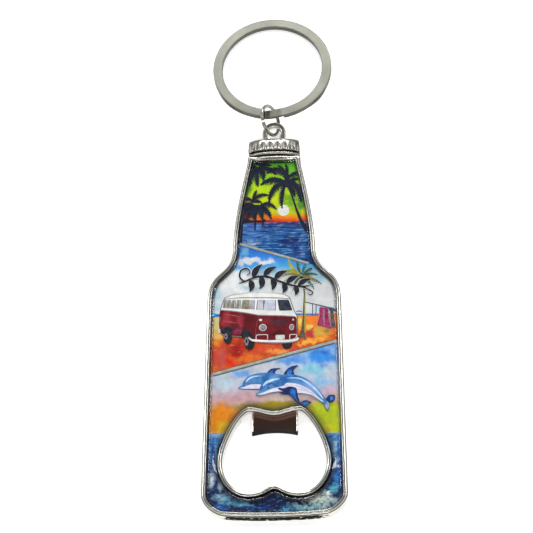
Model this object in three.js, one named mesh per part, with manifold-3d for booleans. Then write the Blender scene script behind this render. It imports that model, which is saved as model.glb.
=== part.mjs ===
// A flat bottle-shaped opener on a key ring: a die-cast body with a framed picture under a clear
// dome, a steel tongue held in a pocket at the back, a jump ring and a flat two-turn split ring.
// Millimetres. It lies on its back on z = 0, its face towards +Z and its cap towards +Y, with the
// origin on the back face at mid-length of the bottle.
import * as THREE from 'three';
import { mergeVertices } from 'three/addons/utils/BufferGeometryUtils.js';
import Module from 'manifold-3d';

const wasm = await Module();
wasm.setup();

// ---------------------------------------------------------------- driving dimensions
const bottle = {
  length: 103.6,
  thickness: 4.6,
  halfBase: 18.3,
  halfShoulder: 17.3,
  halfNeckFoot: 10.75,
  halfNeckTop: 6.9,
  shoulderY: 4.5,
  neckFootY: 19.5,
  neckTopY: 45,
  edge: 0.6,
  outlineSteps: 10,
};
const frame = { rail: 1.15, floorZ: 2.7, topY: 44.6 };
const hole = {
  rim: 1.05,
  halfWidth: 13.1,
  lobeX: 6.4,
  topCuspY: -25.6,
  topLobeY: -24.4,
  sideY: -37.7,
  bottomLobeY: -45.5,
  bottomCuspY: -43.6,
};
const bond = { film: 0.15, side: 0.3 };
const panelThickness = 0.3;
const dome = { crownZ: 4.5, roundWidth: 0.85, roundDrop: 0.55 };
const neckBands = [
  // y of the lower and upper edge, half-width, height at the sides, height at the middle
  { low: 45.0, high: 46.35, half: 7.05, side: 3.3, crown: 5.0 },
  { low: 46.3, high: 46.85, half: 6.5, side: 2.9, crown: 4.3 },
  { low: 46.8, high: 47.9, half: 6.75, side: 3.1, crown: 4.75 },
  { low: 47.85, high: 50.7, half: 6.75, side: 3.1, crown: 4.75 },
  { low: 50.6, high: 51.8, half: 6.6, side: 2.9, crown: 4.5 },
];
const flute = { count: 7, pitch: 1.93, low: 48.0, high: 50.7, wide: 0.62, narrow: 0.36, proud: 0.2 };
const eyelet = { y: 53.9, outer: 3.2, bore: 1.75, bevel: 0.4, bottomZ: 1.4, topZ: 2.9 };
const pocket = { half: 8.6, topY: -12.6, depth: 2.2 };
const tongue = { half: 5.85, plateHalf: 8.3, topY: -12.9, shelfY: -23.6, lipY: -30.1, lipRise: 0.75 };
const tonguePlate = { bottomZ: 0.55, topZ: 2.0, lipBevel: 0.8 };
const post = { x: 5.4, y: -17.4, shank: 1.1, head: 1.75, headBottomZ: 0.05, headTopZ: 0.4, slack: 0.3 };
const jumpRing = { radius: 4, wire: 0.5, gapDegrees: 7, gapAt: 205, lean: 61, x: -0.87, y: 56.98, z: 4.1 };
const splitRing = { outer: 16, band: 2.5, turn: 0.72, between: 0.11, x: -0.45, y: 73.1, z: 2.9, dip: 7.5 };
const splitJoin = { at: 272, ramp: 16, endGap: 2, steps: 132 };

// ---------------------------------------------------------------- helpers
function mergedSolid(geometry) {
  const bare = geometry.index ? geometry.toNonIndexed() : geometry.clone();
  bare.deleteAttribute('normal');
  bare.deleteAttribute('uv');
  const merged = mergeVertices(bare, 1e-4);
  const mesh = new wasm.Mesh({
    numProp: 3,
    vertProperties: merged.attributes.position.array,
    triVerts: new Uint32Array(merged.index.array),
  });
  return new wasm.Manifold(mesh);
}

function geometryOf(solid) {
  const mesh = solid.getMesh();
  const geometry = new THREE.BufferGeometry();
  geometry.setAttribute('position', new THREE.BufferAttribute(new Float32Array(mesh.vertProperties), 3));
  geometry.setIndex(new THREE.BufferAttribute(new Uint32Array(mesh.triVerts), 1));
  const flat = geometry.toNonIndexed();
  flat.computeVertexNormals();
  return flat;
}

// Points of a right half, from the bottom of the centreline to its top, with the left half mirrored.
function mirroredPoints(rightHalf, steps) {
  const right = rightHalf.getPoints(steps);
  const left = right.slice(1, -1).reverse().map((p) => new THREE.Vector2(-p.x, p.y));
  return [...right, ...left];
}

// Moves each point of a closed anticlockwise outline outwards by a distance.
function offsetPoints(points, distance) {
  return points.map((p, i) => {
    const before = points[(i + points.length - 1) % points.length];
    const after = points[(i + 1) % points.length];
    const along = after.clone().sub(before).normalize();
    return new THREE.Vector2(p.x + along.y * distance, p.y - along.x * distance);
  });
}

// A slab between two heights; edge rounds both faces inwards from the outline.
function slab(shape, bottomZ, topZ, edge = 0, segments = 2) {
  const geometry = new THREE.ExtrudeGeometry(shape, {
    depth: topZ - bottomZ - 2 * edge,
    bevelEnabled: edge > 0,
    bevelThickness: edge,
    bevelSize: edge,
    bevelOffset: -edge,
    bevelSegments: segments,
    curveSegments: 24,
  });
  geometry.translate(0, 0, bottomZ + edge);
  return mergedSolid(geometry);
}

function roundBar(x, y, radius, bottomZ, topZ) {
  const geometry = new THREE.CylinderGeometry(radius, radius, topZ - bottomZ, 24);
  geometry.rotateX(Math.PI / 2);
  geometry.translate(x, y, (bottomZ + topZ) / 2);
  return mergedSolid(geometry);
}

// ---------------------------------------------------------------- outlines
function bottlePoints() {
  const b = bottle;
  const baseY = -b.length / 2;
  const half = new THREE.Path();
  half.moveTo(0, baseY);
  half.quadraticCurveTo(8, baseY, 13.2, baseY + 0.55);
  half.bezierCurveTo(15.9, baseY + 1.3, b.halfBase, baseY + 3.8, b.halfBase, baseY + 5.9);
  half.lineTo(b.halfShoulder, b.shoulderY);
  half.bezierCurveTo(b.halfShoulder, 9.7, 16.2, 11.4, 14.2, 13.2);
  half.bezierCurveTo(12.2, 15, 10.9, 16.4, b.halfNeckFoot, b.neckFootY);
  half.bezierCurveTo(10.6, 28, 8.6, 37, b.halfNeckTop, b.neckTopY);
  half.lineTo(b.halfNeckTop - 0.05, b.neckTopY + 1);
  half.lineTo(0, b.neckTopY + 1);
  return mirroredPoints(half, b.outlineSteps);
}

// The opening for the bottle cap, grown outwards by a distance: two lobes above and below, with a
// cusp between each pair.
function holePoints(grow) {
  const h = hole;
  const topCusp = h.topCuspY + grow;
  const topLobe = h.topLobeY + grow;
  const bottomCusp = h.bottomCuspY - grow;
  const bottomLobe = h.bottomLobeY - grow;
  const side = h.halfWidth + grow;
  const half = new THREE.Path();
  half.moveTo(0, bottomCusp);
  half.bezierCurveTo(1.4, bottomCusp, 2.6, bottomLobe, h.lobeX, bottomLobe);
  half.bezierCurveTo(10.4 + 0.5 * grow, bottomLobe, side, h.sideY - 3.8 - 0.5 * grow, side, h.sideY);
  half.bezierCurveTo(side, h.sideY + 5 + 0.5 * grow, 8.5 + 0.5 * grow, topLobe, h.lobeX, topLobe);
  half.bezierCurveTo(4, topLobe, 2.4, topCusp, 0, topCusp);
  return mirroredPoints(half, bottle.outlineSteps);
}

const bottleOutline = bottlePoints();

// The framed area between the side rails and the raised rim of the hole, shrunk by a side gap.
function pictureShape(sideGap) {
  const topY = frame.topY - sideGap;
  const outer = offsetPoints(bottleOutline, -frame.rail - sideGap);
  const trimmed = outer.filter((p) => p.y < topY);
  const last = trimmed.findIndex((p, i) => p.x > 0 && trimmed[i + 1].x < 0);
  const corner = bottle.halfNeckTop - frame.rail - sideGap + 0.05;
  trimmed.splice(last + 1, 0, new THREE.Vector2(corner, topY), new THREE.Vector2(-corner, topY));
  const shape = new THREE.Shape(trimmed);
  shape.holes.push(new THREE.Path(holePoints(hole.rim + sideGap)));
  return shape;
}

// ---------------------------------------------------------------- body casting
// A bar across the neck with a flat back and an arched front.
function archedBar(band) {
  const section = new THREE.Shape();
  section.moveTo(-band.half, 0);
  section.lineTo(band.half, 0);
  section.lineTo(band.half, band.side);
  section.quadraticCurveTo(band.half * 0.6, band.crown, 0, band.crown);
  section.quadraticCurveTo(-band.half * 0.6, band.crown, -band.half, band.side);
  const length = band.high - band.low;
  const geometry = new THREE.ExtrudeGeometry(section, {
    depth: length,
    bevelEnabled: false,
    curveSegments: 8,
  });
  geometry.rotateX(Math.PI / 2);
  geometry.translate(0, band.high, 0);
  return mergedSolid(geometry);
}

// A rib of the crimped cap skirt, wider at its foot, lying on the arched front.
function fluteRib(index) {
  const x = (index - (flute.count - 1) / 2) * flute.pitch;
  const band = neckBands[3];
  const t = Math.abs(x) / band.half;
  const surfaceZ = band.crown - (band.crown - band.side) * t * t * t;
  const length = flute.high - flute.low;
  const geometry = new THREE.CylinderGeometry(flute.narrow, flute.wide, length, 10);
  geometry.translate(x, (flute.low + flute.high) / 2, surfaceZ - flute.wide + flute.proud);
  return mergedSolid(geometry);
}

function eyeletTab() {
  const e = eyelet;
  const shape = new THREE.Shape();
  shape.moveTo(-e.outer, bottle.length / 2 - 1);
  shape.lineTo(e.outer, bottle.length / 2 - 1);
  shape.lineTo(e.outer, e.y);
  shape.absarc(0, e.y, e.outer, 0, Math.PI);
  const bore = new THREE.Path();
  bore.absarc(0, e.y, e.bore, 0, 2 * Math.PI, true);
  shape.holes.push(bore);
  return slab(shape, e.bottomZ, e.topZ, e.bevel);
}

function tonguePocket() {
  const p = pocket;
  const shape = new THREE.Shape();
  shape.moveTo(-p.half, p.topY);
  shape.lineTo(-p.half, hole.topLobeY - 2);
  shape.lineTo(p.half, hole.topLobeY - 2);
  shape.lineTo(p.half, p.topY);
  return slab(shape, -1, p.depth);
}

function castBody() {
  let solid = slab(new THREE.Shape(bottleOutline), 0, bottle.thickness, bottle.edge);
  for (const band of neckBands) {
    solid = solid.add(archedBar(band));
  }
  for (let i = 0; i < flute.count; i++) {
    solid = solid.add(fluteRib(i));
  }
  solid = solid.add(eyeletTab());
  solid = solid.subtract(slab(pictureShape(0), frame.floorZ, bottle.thickness + 1));
  solid = solid.subtract(slab(new THREE.Shape(holePoints(0)), -1, bottle.thickness + 1));
  solid = solid.subtract(tonguePocket());
  for (const side of [-1, 1]) {
    solid = solid.add(roundBar(side * post.x, post.y, post.shank, post.headTopZ - 0.1, pocket.depth + 0.2));
    solid = solid.add(roundBar(side * post.x, post.y, post.head, post.headBottomZ, post.headTopZ));
  }
  return solid;
}

// ---------------------------------------------------------------- tongue
// The steel insert: a wide plate in the pocket and a narrower lip that hooks under the cap's edge.
function tongueInsert() {
  const t = tongue;
  const p = tonguePlate;
  const shape = new THREE.Shape();
  shape.moveTo(-t.half, t.lipY);
  shape.quadraticCurveTo(0, t.lipY + 2 * t.lipRise, t.half, t.lipY);
  shape.lineTo(t.half, t.shelfY);
  shape.lineTo(t.plateHalf, t.shelfY);
  shape.lineTo(t.plateHalf, t.topY);
  shape.lineTo(-t.plateHalf, t.topY);
  shape.lineTo(-t.plateHalf, t.shelfY);
  shape.lineTo(-t.half, t.shelfY);
  for (const side of [-1, 1]) {
    const eye = new THREE.Path();
    eye.absarc(side * post.x, post.y, post.shank + post.slack, 0, 2 * Math.PI, true);
    shape.holes.push(eye);
  }
  const bevelBlock = new THREE.BoxGeometry(4 * t.half, 2 * p.lipBevel, 2 * p.lipBevel);
  bevelBlock.rotateX(Math.PI / 4);
  bevelBlock.translate(0, t.lipY, p.topZ + 0.1);
  return slab(shape, p.bottomZ, p.topZ).subtract(mergedSolid(bevelBlock));
}

// ---------------------------------------------------------------- picture and dome
function picturePanel() {
  const bottomZ = frame.floorZ + bond.film;
  return slab(pictureShape(bond.side), bottomZ, bottomZ + panelThickness);
}

function clearDome() {
  const bottomZ = frame.floorZ + panelThickness + 2 * bond.film;
  const d = dome;
  const geometry = new THREE.ExtrudeGeometry(pictureShape(bond.side), {
    depth: 2 * (d.crownZ - d.roundDrop - bottomZ),
    bevelThickness: d.roundDrop,
    bevelSize: d.roundWidth,
    bevelOffset: -d.roundWidth,
    bevelSegments: 3,
  });
  geometry.translate(0, 0, 2 * bottomZ - d.crownZ + d.roundDrop);
  return mergedSolid(geometry).trimByPlane([0, 0, 1], bottomZ);
}

// ---------------------------------------------------------------- rings
// One open turn of round wire in the plane z = 0.
class OpenTurn extends THREE.Curve {
  getPoint(t) {
    const start = THREE.MathUtils.degToRad(jumpRing.gapAt + jumpRing.gapDegrees / 2);
    const sweep = THREE.MathUtils.degToRad(360 - jumpRing.gapDegrees);
    const angle = start + sweep * t;
    return new THREE.Vector3(jumpRing.radius * Math.cos(angle), jumpRing.radius * Math.sin(angle), 0);
  }
}

// Two flat turns, one on the other, which change level in a short ramp beside their two ends.
class SplitTurns extends THREE.Curve {
  getPoint(t) {
    const join = splitJoin;
    const margin = join.ramp / 2 + join.endGap;
    const degrees = margin + (720 - 2 * margin) * t;
    const climb = THREE.MathUtils.clamp((degrees - 360 + join.ramp / 2) / join.ramp, 0, 1);
    const angle = THREE.MathUtils.degToRad(join.at + degrees);
    const radius = splitRing.outer - splitRing.band / 2;
    const level = (climb - 0.5) * (splitRing.turn + splitRing.between);
    return new THREE.Vector3(radius * Math.cos(angle), radius * Math.sin(angle), level);
  }
}

function wireTurn() {
  const section = new THREE.Shape();
  section.absarc(0, 0, jumpRing.wire, 0, 2 * Math.PI);
  const geometry = new THREE.ExtrudeGeometry(section, {
    steps: 44,
    curveSegments: 5,
    extrudePath: new OpenTurn(),
  });
  return mergedSolid(geometry);
}

function flatTurns() {
  const s = splitRing;
  const section = new THREE.Shape();
  section.moveTo(-s.turn / 2, -s.band / 2);
  section.lineTo(s.turn / 2, -s.band / 2);
  section.lineTo(s.turn / 2, s.band / 2);
  section.lineTo(-s.turn / 2, s.band / 2);
  const geometry = new THREE.ExtrudeGeometry(section, {
    steps: splitJoin.steps,
    extrudePath: new SplitTurns(),
  });
  return mergedSolid(geometry);
}

// ---------------------------------------------------------------- assembly
const finishes = {
  nickelCasting: { color: 0xb4b4aa, roughness: 0.28, metalness: 1 },
  nickelSteel: { color: 0x8d8a80, roughness: 0.12, metalness: 1 },
  nickelWire: { color: 0xa5a598, roughness: 0.3, metalness: 1 },
  print: { color: 0x3a78a8, roughness: 0.5, metalness: 0 },
  resin: { color: 0xeaf4f8, roughness: 0.05, metalness: 0 },
};

const opener = new THREE.Group();

function place(name, solid, finish, parent = opener) {
  const mesh = new THREE.Mesh(geometryOf(solid), new THREE.MeshStandardMaterial(finishes[finish]));
  mesh.name = name;
  parent.add(mesh);
}

place('bottle_body', castBody(), 'nickelCasting');
place('opener_tongue', tongueInsert(), 'nickelSteel');
place('picture_panel', picturePanel(), 'print');
place('clear_dome', clearDome(), 'resin');

const jumpRingPlace = new THREE.Group();
jumpRingPlace.position.set(jumpRing.x, jumpRing.y, jumpRing.z);
jumpRingPlace.rotation.y = THREE.MathUtils.degToRad(jumpRing.lean);
opener.add(jumpRingPlace);
place('jump_ring', wireTurn(), 'nickelWire', jumpRingPlace);

const splitRingPlace = new THREE.Group();
splitRingPlace.position.set(splitRing.x, splitRing.y, splitRing.z);
splitRingPlace.rotation.x = THREE.MathUtils.degToRad(-splitRing.dip);
opener.add(splitRingPlace);
place('split_ring', flatTurns(), 'nickelWire', splitRingPlace);

export default opener;
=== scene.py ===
import math
import random

import bmesh
import bpy
from mathutils import Matrix, Vector
from mathutils.geometry import interpolate_bezier


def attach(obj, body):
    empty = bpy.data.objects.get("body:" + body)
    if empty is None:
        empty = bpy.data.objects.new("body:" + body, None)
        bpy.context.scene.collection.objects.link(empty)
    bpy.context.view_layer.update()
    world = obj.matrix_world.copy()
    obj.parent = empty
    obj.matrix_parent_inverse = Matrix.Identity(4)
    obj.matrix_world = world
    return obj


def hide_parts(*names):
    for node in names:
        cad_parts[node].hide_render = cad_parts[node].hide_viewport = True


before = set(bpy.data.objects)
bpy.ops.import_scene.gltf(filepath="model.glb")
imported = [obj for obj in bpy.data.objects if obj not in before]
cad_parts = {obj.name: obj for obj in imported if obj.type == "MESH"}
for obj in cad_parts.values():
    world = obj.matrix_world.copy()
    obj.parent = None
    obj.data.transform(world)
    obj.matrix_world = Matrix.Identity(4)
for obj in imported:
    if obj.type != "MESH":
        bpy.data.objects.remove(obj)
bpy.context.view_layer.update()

mm = 0.001   # everything below is drawn in millimetres and shrunk once, when a mesh is finished
dice = random.Random(11)
scene = bpy.context.scene


# camera, looking down on the face from its foot end
view = {"target": (-2.1, 15.8, 2.0), "distance": 521, "tilt": 22, "side": 4.5, "lens": 135.1, "sensor": 36}


def addCamera():
    tilt, side = math.radians(view["tilt"]), math.radians(view["side"])
    back = Vector((math.sin(side) * math.cos(tilt), -math.sin(tilt), math.cos(side) * math.cos(tilt)))
    right = Vector((0, 1, 0)).cross(back).normalized()
    up = back.cross(right)
    camera = bpy.data.objects.new("viewCamera", bpy.data.cameras.new("viewCamera"))
    turn = Matrix((right, up, back)).transposed().to_4x4()
    camera.matrix_world = Matrix.Translation((Vector(view["target"]) + view["distance"] * back) * mm) @ turn
    camera.data.lens = view["lens"]
    camera.data.sensor_width = view["sensor"]
    camera.data.clip_start = 0.01
    scene.collection.objects.link(camera)
    scene.camera = camera


addCamera()
print("camera set")


# outlines, all as points in millimetres

longRun = 20   # a straight side longer than this is cut up like a curve, so that its faces stay short


def curvePoints(start, curves, steps=12):
    points = [Vector(start)]
    for curve in curves:
        if len(curve) == 2:   # a straight run
            last, end = points[-1], Vector(curve)
            cuts = steps if (end - last).length > longRun else 1
            points += [last.lerp(end, (i + 1) / cuts) for i in range(cuts)]
            continue
        a, b, end = (Vector(p) for p in curve)
        points += interpolate_bezier(points[-1], a, b, end, steps + 1)[1:]
    return points


def mirrored(rightHalf):
    return rightHalf + [Vector((-p.x, p.y)) for p in reversed(rightHalf[1:-1])]


def smoothRing(points, steps=5):
    ring, count = [], len(points)
    for i in range(count):
        a, b, c, d = (Vector(points[(i + k) % count]) for k in (-1, 0, 1, 2))
        ring += interpolate_bezier(b, b + (c - a) / 6, c - (d - b) / 6, c, steps + 1)[:-1]
    return ring


def smoothPath(points, steps=6):
    path = []
    ends = [points[0]] + list(points) + [points[-1]]
    for a, b, c, d in zip(ends, ends[1:], ends[2:], ends[3:]):
        a, b, c, d = Vector(a), Vector(b), Vector(c), Vector(d)
        path += interpolate_bezier(b, b + (c - a) / 6, c - (d - b) / 6, c, steps + 1)[:-1]
    return path + [Vector(points[-1])]


def normalAt(points, i, closed=True):
    last = len(points) - 1
    before = points[i - 1] if closed or i > 0 else points[0]
    after = points[(i + 1) % len(points)] if closed or i < last else points[last]
    along = (after - before).normalized()
    return Vector((along.y, -along.x))


def shrunk(points, distance):
    # every side moves in by the distance, so corners stay mitred
    ring = []
    for i, p in enumerate(points):
        before = normalAt([points[i - 1], p], 0, False)
        after = normalAt([p, points[(i + 1) % len(points)]], 0, False)
        corner = (before + after).normalized()
        ring.append(p - corner * distance / max(corner.dot(after), 0.5))
    return ring


def ribbonRing(points, widths, steps=6):
    path = smoothPath(points, steps)
    spread = smoothPath([(w, 0) for w in widths], steps)
    sides = [normalAt(path, i, False) * spread[i].x / 2 for i in range(len(path))]
    return [p + s for p, s in zip(path, sides)] + [p - s for p, s in reversed(list(zip(path, sides)))]


def ellipseRing(x, y, rx, ry, count=28, turn=0):
    ring = []
    for i in range(count):
        a = 2 * math.pi * i / count
        p = Vector((rx * math.cos(a), ry * math.sin(a)))
        p.rotate(Matrix.Rotation(math.radians(turn), 2))
        ring.append(p + Vector((x, y)))
    return ring


bottle = {
    "baseY": -51.8, "halfBase": 18.3, "halfShoulder": 17.3, "shoulderY": 4.5,
    "halfNeckFoot": 10.75, "neckFootY": 19.5, "halfNeckTop": 6.9, "neckTopY": 45,
}
capHole = {
    "halfWidth": 13.1, "lobeX": 6.4, "topCuspY": -25.6, "topLobeY": -24.4,
    "sideY": -37.7, "bottomLobeY": -45.5, "bottomCuspY": -43.6,
}


def bottleOutline():
    b = bottle
    base = b["baseY"]
    return mirrored(curvePoints((0, base), [
        ((5.3, base), (9.7, base + 0.18), (13.2, base + 0.55)),
        ((15.9, base + 1.3), (b["halfBase"], base + 3.8), (b["halfBase"], base + 5.9)),
        (b["halfShoulder"], b["shoulderY"]),
        ((b["halfShoulder"], 9.7), (16.2, 11.4), (14.2, 13.2)),
        ((12.2, 15), (10.9, 16.4), (b["halfNeckFoot"], b["neckFootY"])),
        ((10.6, 28), (8.6, 37), (b["halfNeckTop"], b["neckTopY"])),
        (b["halfNeckTop"] - 0.05, b["neckTopY"] + 1.35),
        (0, b["neckTopY"] + 1.35),
    ], 14))


def holeOutline(grow):
    h = capHole
    side, cusp, lobe = h["halfWidth"] + grow, h["bottomCuspY"] - grow, h["bottomLobeY"] - grow
    topCusp, topLobe, half = h["topCuspY"] + grow, h["topLobeY"] + grow, 0.5 * grow
    return mirrored(curvePoints((0, cusp), [
        ((1.4, cusp), (2.6, lobe), (h["lobeX"], lobe)),
        ((10.4 + half, lobe), (side, h["sideY"] - 3.8 - half), (side, h["sideY"])),
        ((side, h["sideY"] + 5 + half), (8.5 + half, topLobe), (h["lobeX"], topLobe)),
        ((4, topLobe), (2.4, topCusp), (0, topCusp)),
    ], 18))


# mesh helpers

def addLoop(bm, points, z):
    verts = [bm.verts.new((p.x, p.y, z)) for p in points]
    return [bm.edges.new(pair) for pair in zip(verts, verts[1:] + verts[:1])]


def bridgeLoops(bm, loops):
    faces = []
    for lower, upper in zip(loops, loops[1:]):
        faces += bmesh.ops.bridge_loops(bm, edges=lower + upper)["faces"]
    return faces


def fillRegion(bm, *loops):
    edges = [edge for loop in loops for edge in loop]
    made = bmesh.ops.triangle_fill(bm, use_beauty=True, use_dissolve=False, edges=edges)
    return [g for g in made["geom"] if isinstance(g, bmesh.types.BMFace)]


def extrudeUp(bm, faces, height):
    made = bmesh.ops.extrude_face_region(bm, geom=faces)["geom"]
    verts = [g for g in made if isinstance(g, bmesh.types.BMVert)]
    bmesh.ops.translate(bm, verts=verts, vec=(0, 0, height))
    return [g for g in made if isinstance(g, bmesh.types.BMFace)]


def evenShading(piece):
    step = piece.modifiers.new("evenShading", "WEIGHTED_NORMAL")
    step.keep_sharp = True


def finishMesh(bm, name, materials, body, nodes=(), sharpAngle=38, place=None):
    bmesh.ops.recalc_face_normals(bm, faces=bm.faces)
    bmesh.ops.transform(bm, matrix=Matrix.Scale(mm, 4) @ (place or Matrix.Identity(4)), verts=bm.verts)
    mesh = bpy.data.meshes.new(name)
    bm.to_mesh(mesh)
    bm.free()
    mesh.shade_smooth()
    mesh.set_sharp_from_angle(angle=math.radians(sharpAngle))
    for material in materials:
        mesh.materials.append(material)
    piece = bpy.data.objects.new(name, mesh)
    scene.collection.objects.link(piece)
    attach(piece, body)
    if nodes:
        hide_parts(*nodes)
    evenShading(piece)
    print(name, "made,", len(mesh.polygons), "faces")
    return piece


def cutWith(piece, cutter, operation):
    step = piece.modifiers.new("cut", "BOOLEAN")
    step.operation = operation
    step.solver = "EXACT"
    step.object = cutter
    bpy.context.view_layer.update()
    graph = bpy.context.evaluated_depsgraph_get()
    mesh = bpy.data.meshes.new_from_object(piece.evaluated_get(graph))
    piece.modifiers.clear()
    mesh.name = piece.name
    old = piece.data
    piece.data = mesh
    bpy.data.meshes.remove(old)
    bpy.data.objects.remove(cutter)


# shader groups

def newGroup(name, inputs, outputs):
    tree = bpy.data.node_groups.new(name, "ShaderNodeTree")
    for label, kind, value in inputs:
        socket = tree.interface.new_socket(label, in_out="INPUT", socket_type=kind)
        if value is not None:
            socket.default_value = value
    for label, kind in outputs:
        tree.interface.new_socket(label, in_out="OUTPUT", socket_type=kind)
    start = tree.nodes.new("NodeGroupInput")
    end = tree.nodes.new("NodeGroupOutput")
    return tree, start.outputs, end.inputs


def addNode(tree, kind, values=None, **settings):
    node = tree.nodes.new(kind)
    for key, value in settings.items():
        setattr(node, key, value)
    for key, value in (values or {}).items():
        socket = node.inputs[key]
        if isinstance(value, bpy.types.NodeSocket):
            tree.links.new(value, socket)
        else:
            socket.default_value = value
    return node


def addMath(tree, operation, a, b=0.0, clamp=False):
    return addNode(tree, "ShaderNodeMath", {0: a, 1: b}, operation=operation, use_clamp=clamp).outputs[0]


def addNoise(tree, vector, scale, detail=3, roughness=0.55):
    node = addNode(tree, "ShaderNodeTexNoise",
                   {"Vector": vector, "Scale": scale, "Detail": detail, "Roughness": roughness})
    return node.outputs["Fac"]


def addRange(tree, value, low, high, toLow=0.0, toHigh=1.0, easing="LINEAR"):
    node = addNode(tree, "ShaderNodeMapRange", {0: value, 1: low, 2: high, 3: toLow, 4: toHigh},
                   interpolation_type=easing)
    return node.outputs[0]


def addBump(tree, shader, height, strength, distance):
    raised = addNode(tree, "ShaderNodeBump", {"Height": height, "Strength": strength, "Distance": distance})
    tree.links.new(raised.outputs[0], shader.inputs["Normal"])


def addRamp(tree, factor, stops, smooth=False):
    node = addNode(tree, "ShaderNodeValToRGB", {"Fac": factor})
    ramp = node.color_ramp
    ramp.interpolation = "EASE" if smooth else "LINEAR"
    while len(ramp.elements) < len(stops):
        ramp.elements.new(0.5)
    for element, (place, colour) in zip(ramp.elements, stops):
        element.position = place
        element.color = (*colour, 1) if len(colour) == 3 else colour
    return node.outputs["Color"]


def addMix(tree, factor, a, b):
    node = addNode(tree, "ShaderNodeMix", data_type="RGBA")
    for socket, value in ((node.inputs[0], factor), (node.inputs[6], a), (node.inputs[7], b)):
        if isinstance(value, bpy.types.NodeSocket):
            tree.links.new(value, socket)
        elif socket.type == "RGBA":
            socket.default_value = (*value, 1)
        else:
            socket.default_value = value
    return node.outputs[2]


def makeMetalGrain():
    # cloudy tone and a fine tooth for cast, drawn or rolled nickel
    tree, given, out = newGroup("metalGrain", [
        ("Vector", "NodeSocketVector", None), ("Cloud Scale", "NodeSocketFloat", 120.0),
        ("Tooth Scale", "NodeSocketFloat", 2600.0), ("Pits", "NodeSocketFloat", 0.3),
    ], [("Cloud", "NodeSocketFloat"), ("Height", "NodeSocketFloat")])
    cloud = addNoise(tree, given["Vector"], given["Cloud Scale"], 4)
    tooth = addNoise(tree, given["Vector"], given["Tooth Scale"], 2)
    cell = addNode(tree, "ShaderNodeTexVoronoi", {"Vector": given["Vector"], "Scale": 900.0})
    pit = addRange(tree, cell.outputs["Distance"], 0.0, 0.25, 1.0, 0.0)
    pit = addMath(tree, "MULTIPLY", pit, given["Pits"])
    tree.links.new(cloud, out["Cloud"])
    tree.links.new(addMath(tree, "SUBTRACT", tooth, pit), out["Height"])
    return tree


def makeEdgeRub():
    # where corners have been rubbed bright, broken up by noise
    tree, given, out = newGroup("edgeRub", [
        ("Vector", "NodeSocketVector", None), ("Reach", "NodeSocketFloat", 0.52),
        ("Break Up", "NodeSocketFloat", 0.35),
    ], [("Mask", "NodeSocketFloat")])
    point = addNode(tree, "ShaderNodeNewGeometry").outputs["Pointiness"]
    rough = addMath(tree, "MULTIPLY", addNoise(tree, given["Vector"], 700.0, 3), given["Break Up"])
    raised = addMath(tree, "SUBTRACT", point, given["Reach"])
    raised = addMath(tree, "MULTIPLY", raised, 6.0, True)
    tree.links.new(addMath(tree, "SUBTRACT", raised, rough, True), out["Mask"])
    return tree


def makePaintBlob():
    # a soft ragged dab of colour, centred on a place in the picture
    tree, given, out = newGroup("paintBlob", [
        ("Vector", "NodeSocketVector", None), ("Centre", "NodeSocketVector", (0, 0, 0)),
        ("Size", "NodeSocketVector", (1, 1, 1)), ("Softness", "NodeSocketFloat", 0.6),
        ("Ragged", "NodeSocketFloat", 0.5), ("Grain", "NodeSocketFloat", 900.0),
    ], [("Mask", "NodeSocketFloat")])
    drift = addNode(tree, "ShaderNodeTexNoise",
                    {"Vector": given["Vector"], "Scale": 420.0, "Detail": 5.0, "Roughness": 0.62}).outputs["Color"]
    drift = addNode(tree, "ShaderNodeVectorMath", {0: drift, 1: (0.5, 0.5, 0.5)}, operation="SUBTRACT").outputs[0]
    reach = addMath(tree, "MULTIPLY", given["Ragged"], 0.0058)
    drift = addNode(tree, "ShaderNodeVectorMath", {0: drift, "Scale": reach}, operation="SCALE").outputs[0]
    place = addNode(tree, "ShaderNodeVectorMath", {0: given["Vector"], 1: drift}, operation="ADD").outputs[0]
    apart = addNode(tree, "ShaderNodeVectorMath", {0: place, 1: given["Centre"]}, operation="SUBTRACT").outputs[0]
    scaled = addNode(tree, "ShaderNodeVectorMath", {0: apart, 1: given["Size"]}, operation="DIVIDE").outputs[0]
    flat = addNode(tree, "ShaderNodeVectorMath", {0: scaled, 1: (1, 1, 0)}, operation="MULTIPLY").outputs[0]
    far = addNode(tree, "ShaderNodeVectorMath", {0: flat}, operation="LENGTH").outputs["Value"]
    wobble = addMath(tree, "SUBTRACT", addNoise(tree, given["Vector"], given["Grain"], 5, 0.6), 0.5)
    wobble = addMath(tree, "MULTIPLY", wobble, given["Ragged"])
    far = addMath(tree, "ADD", far, addMath(tree, "MULTIPLY", wobble, 2.0))
    inner = addMath(tree, "SUBTRACT", 1.0, given["Softness"])
    tree.links.new(addRange(tree, far, inner, 1.0, 1.0, 0.0, "SMOOTHSTEP"), out["Mask"])
    return tree


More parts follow.
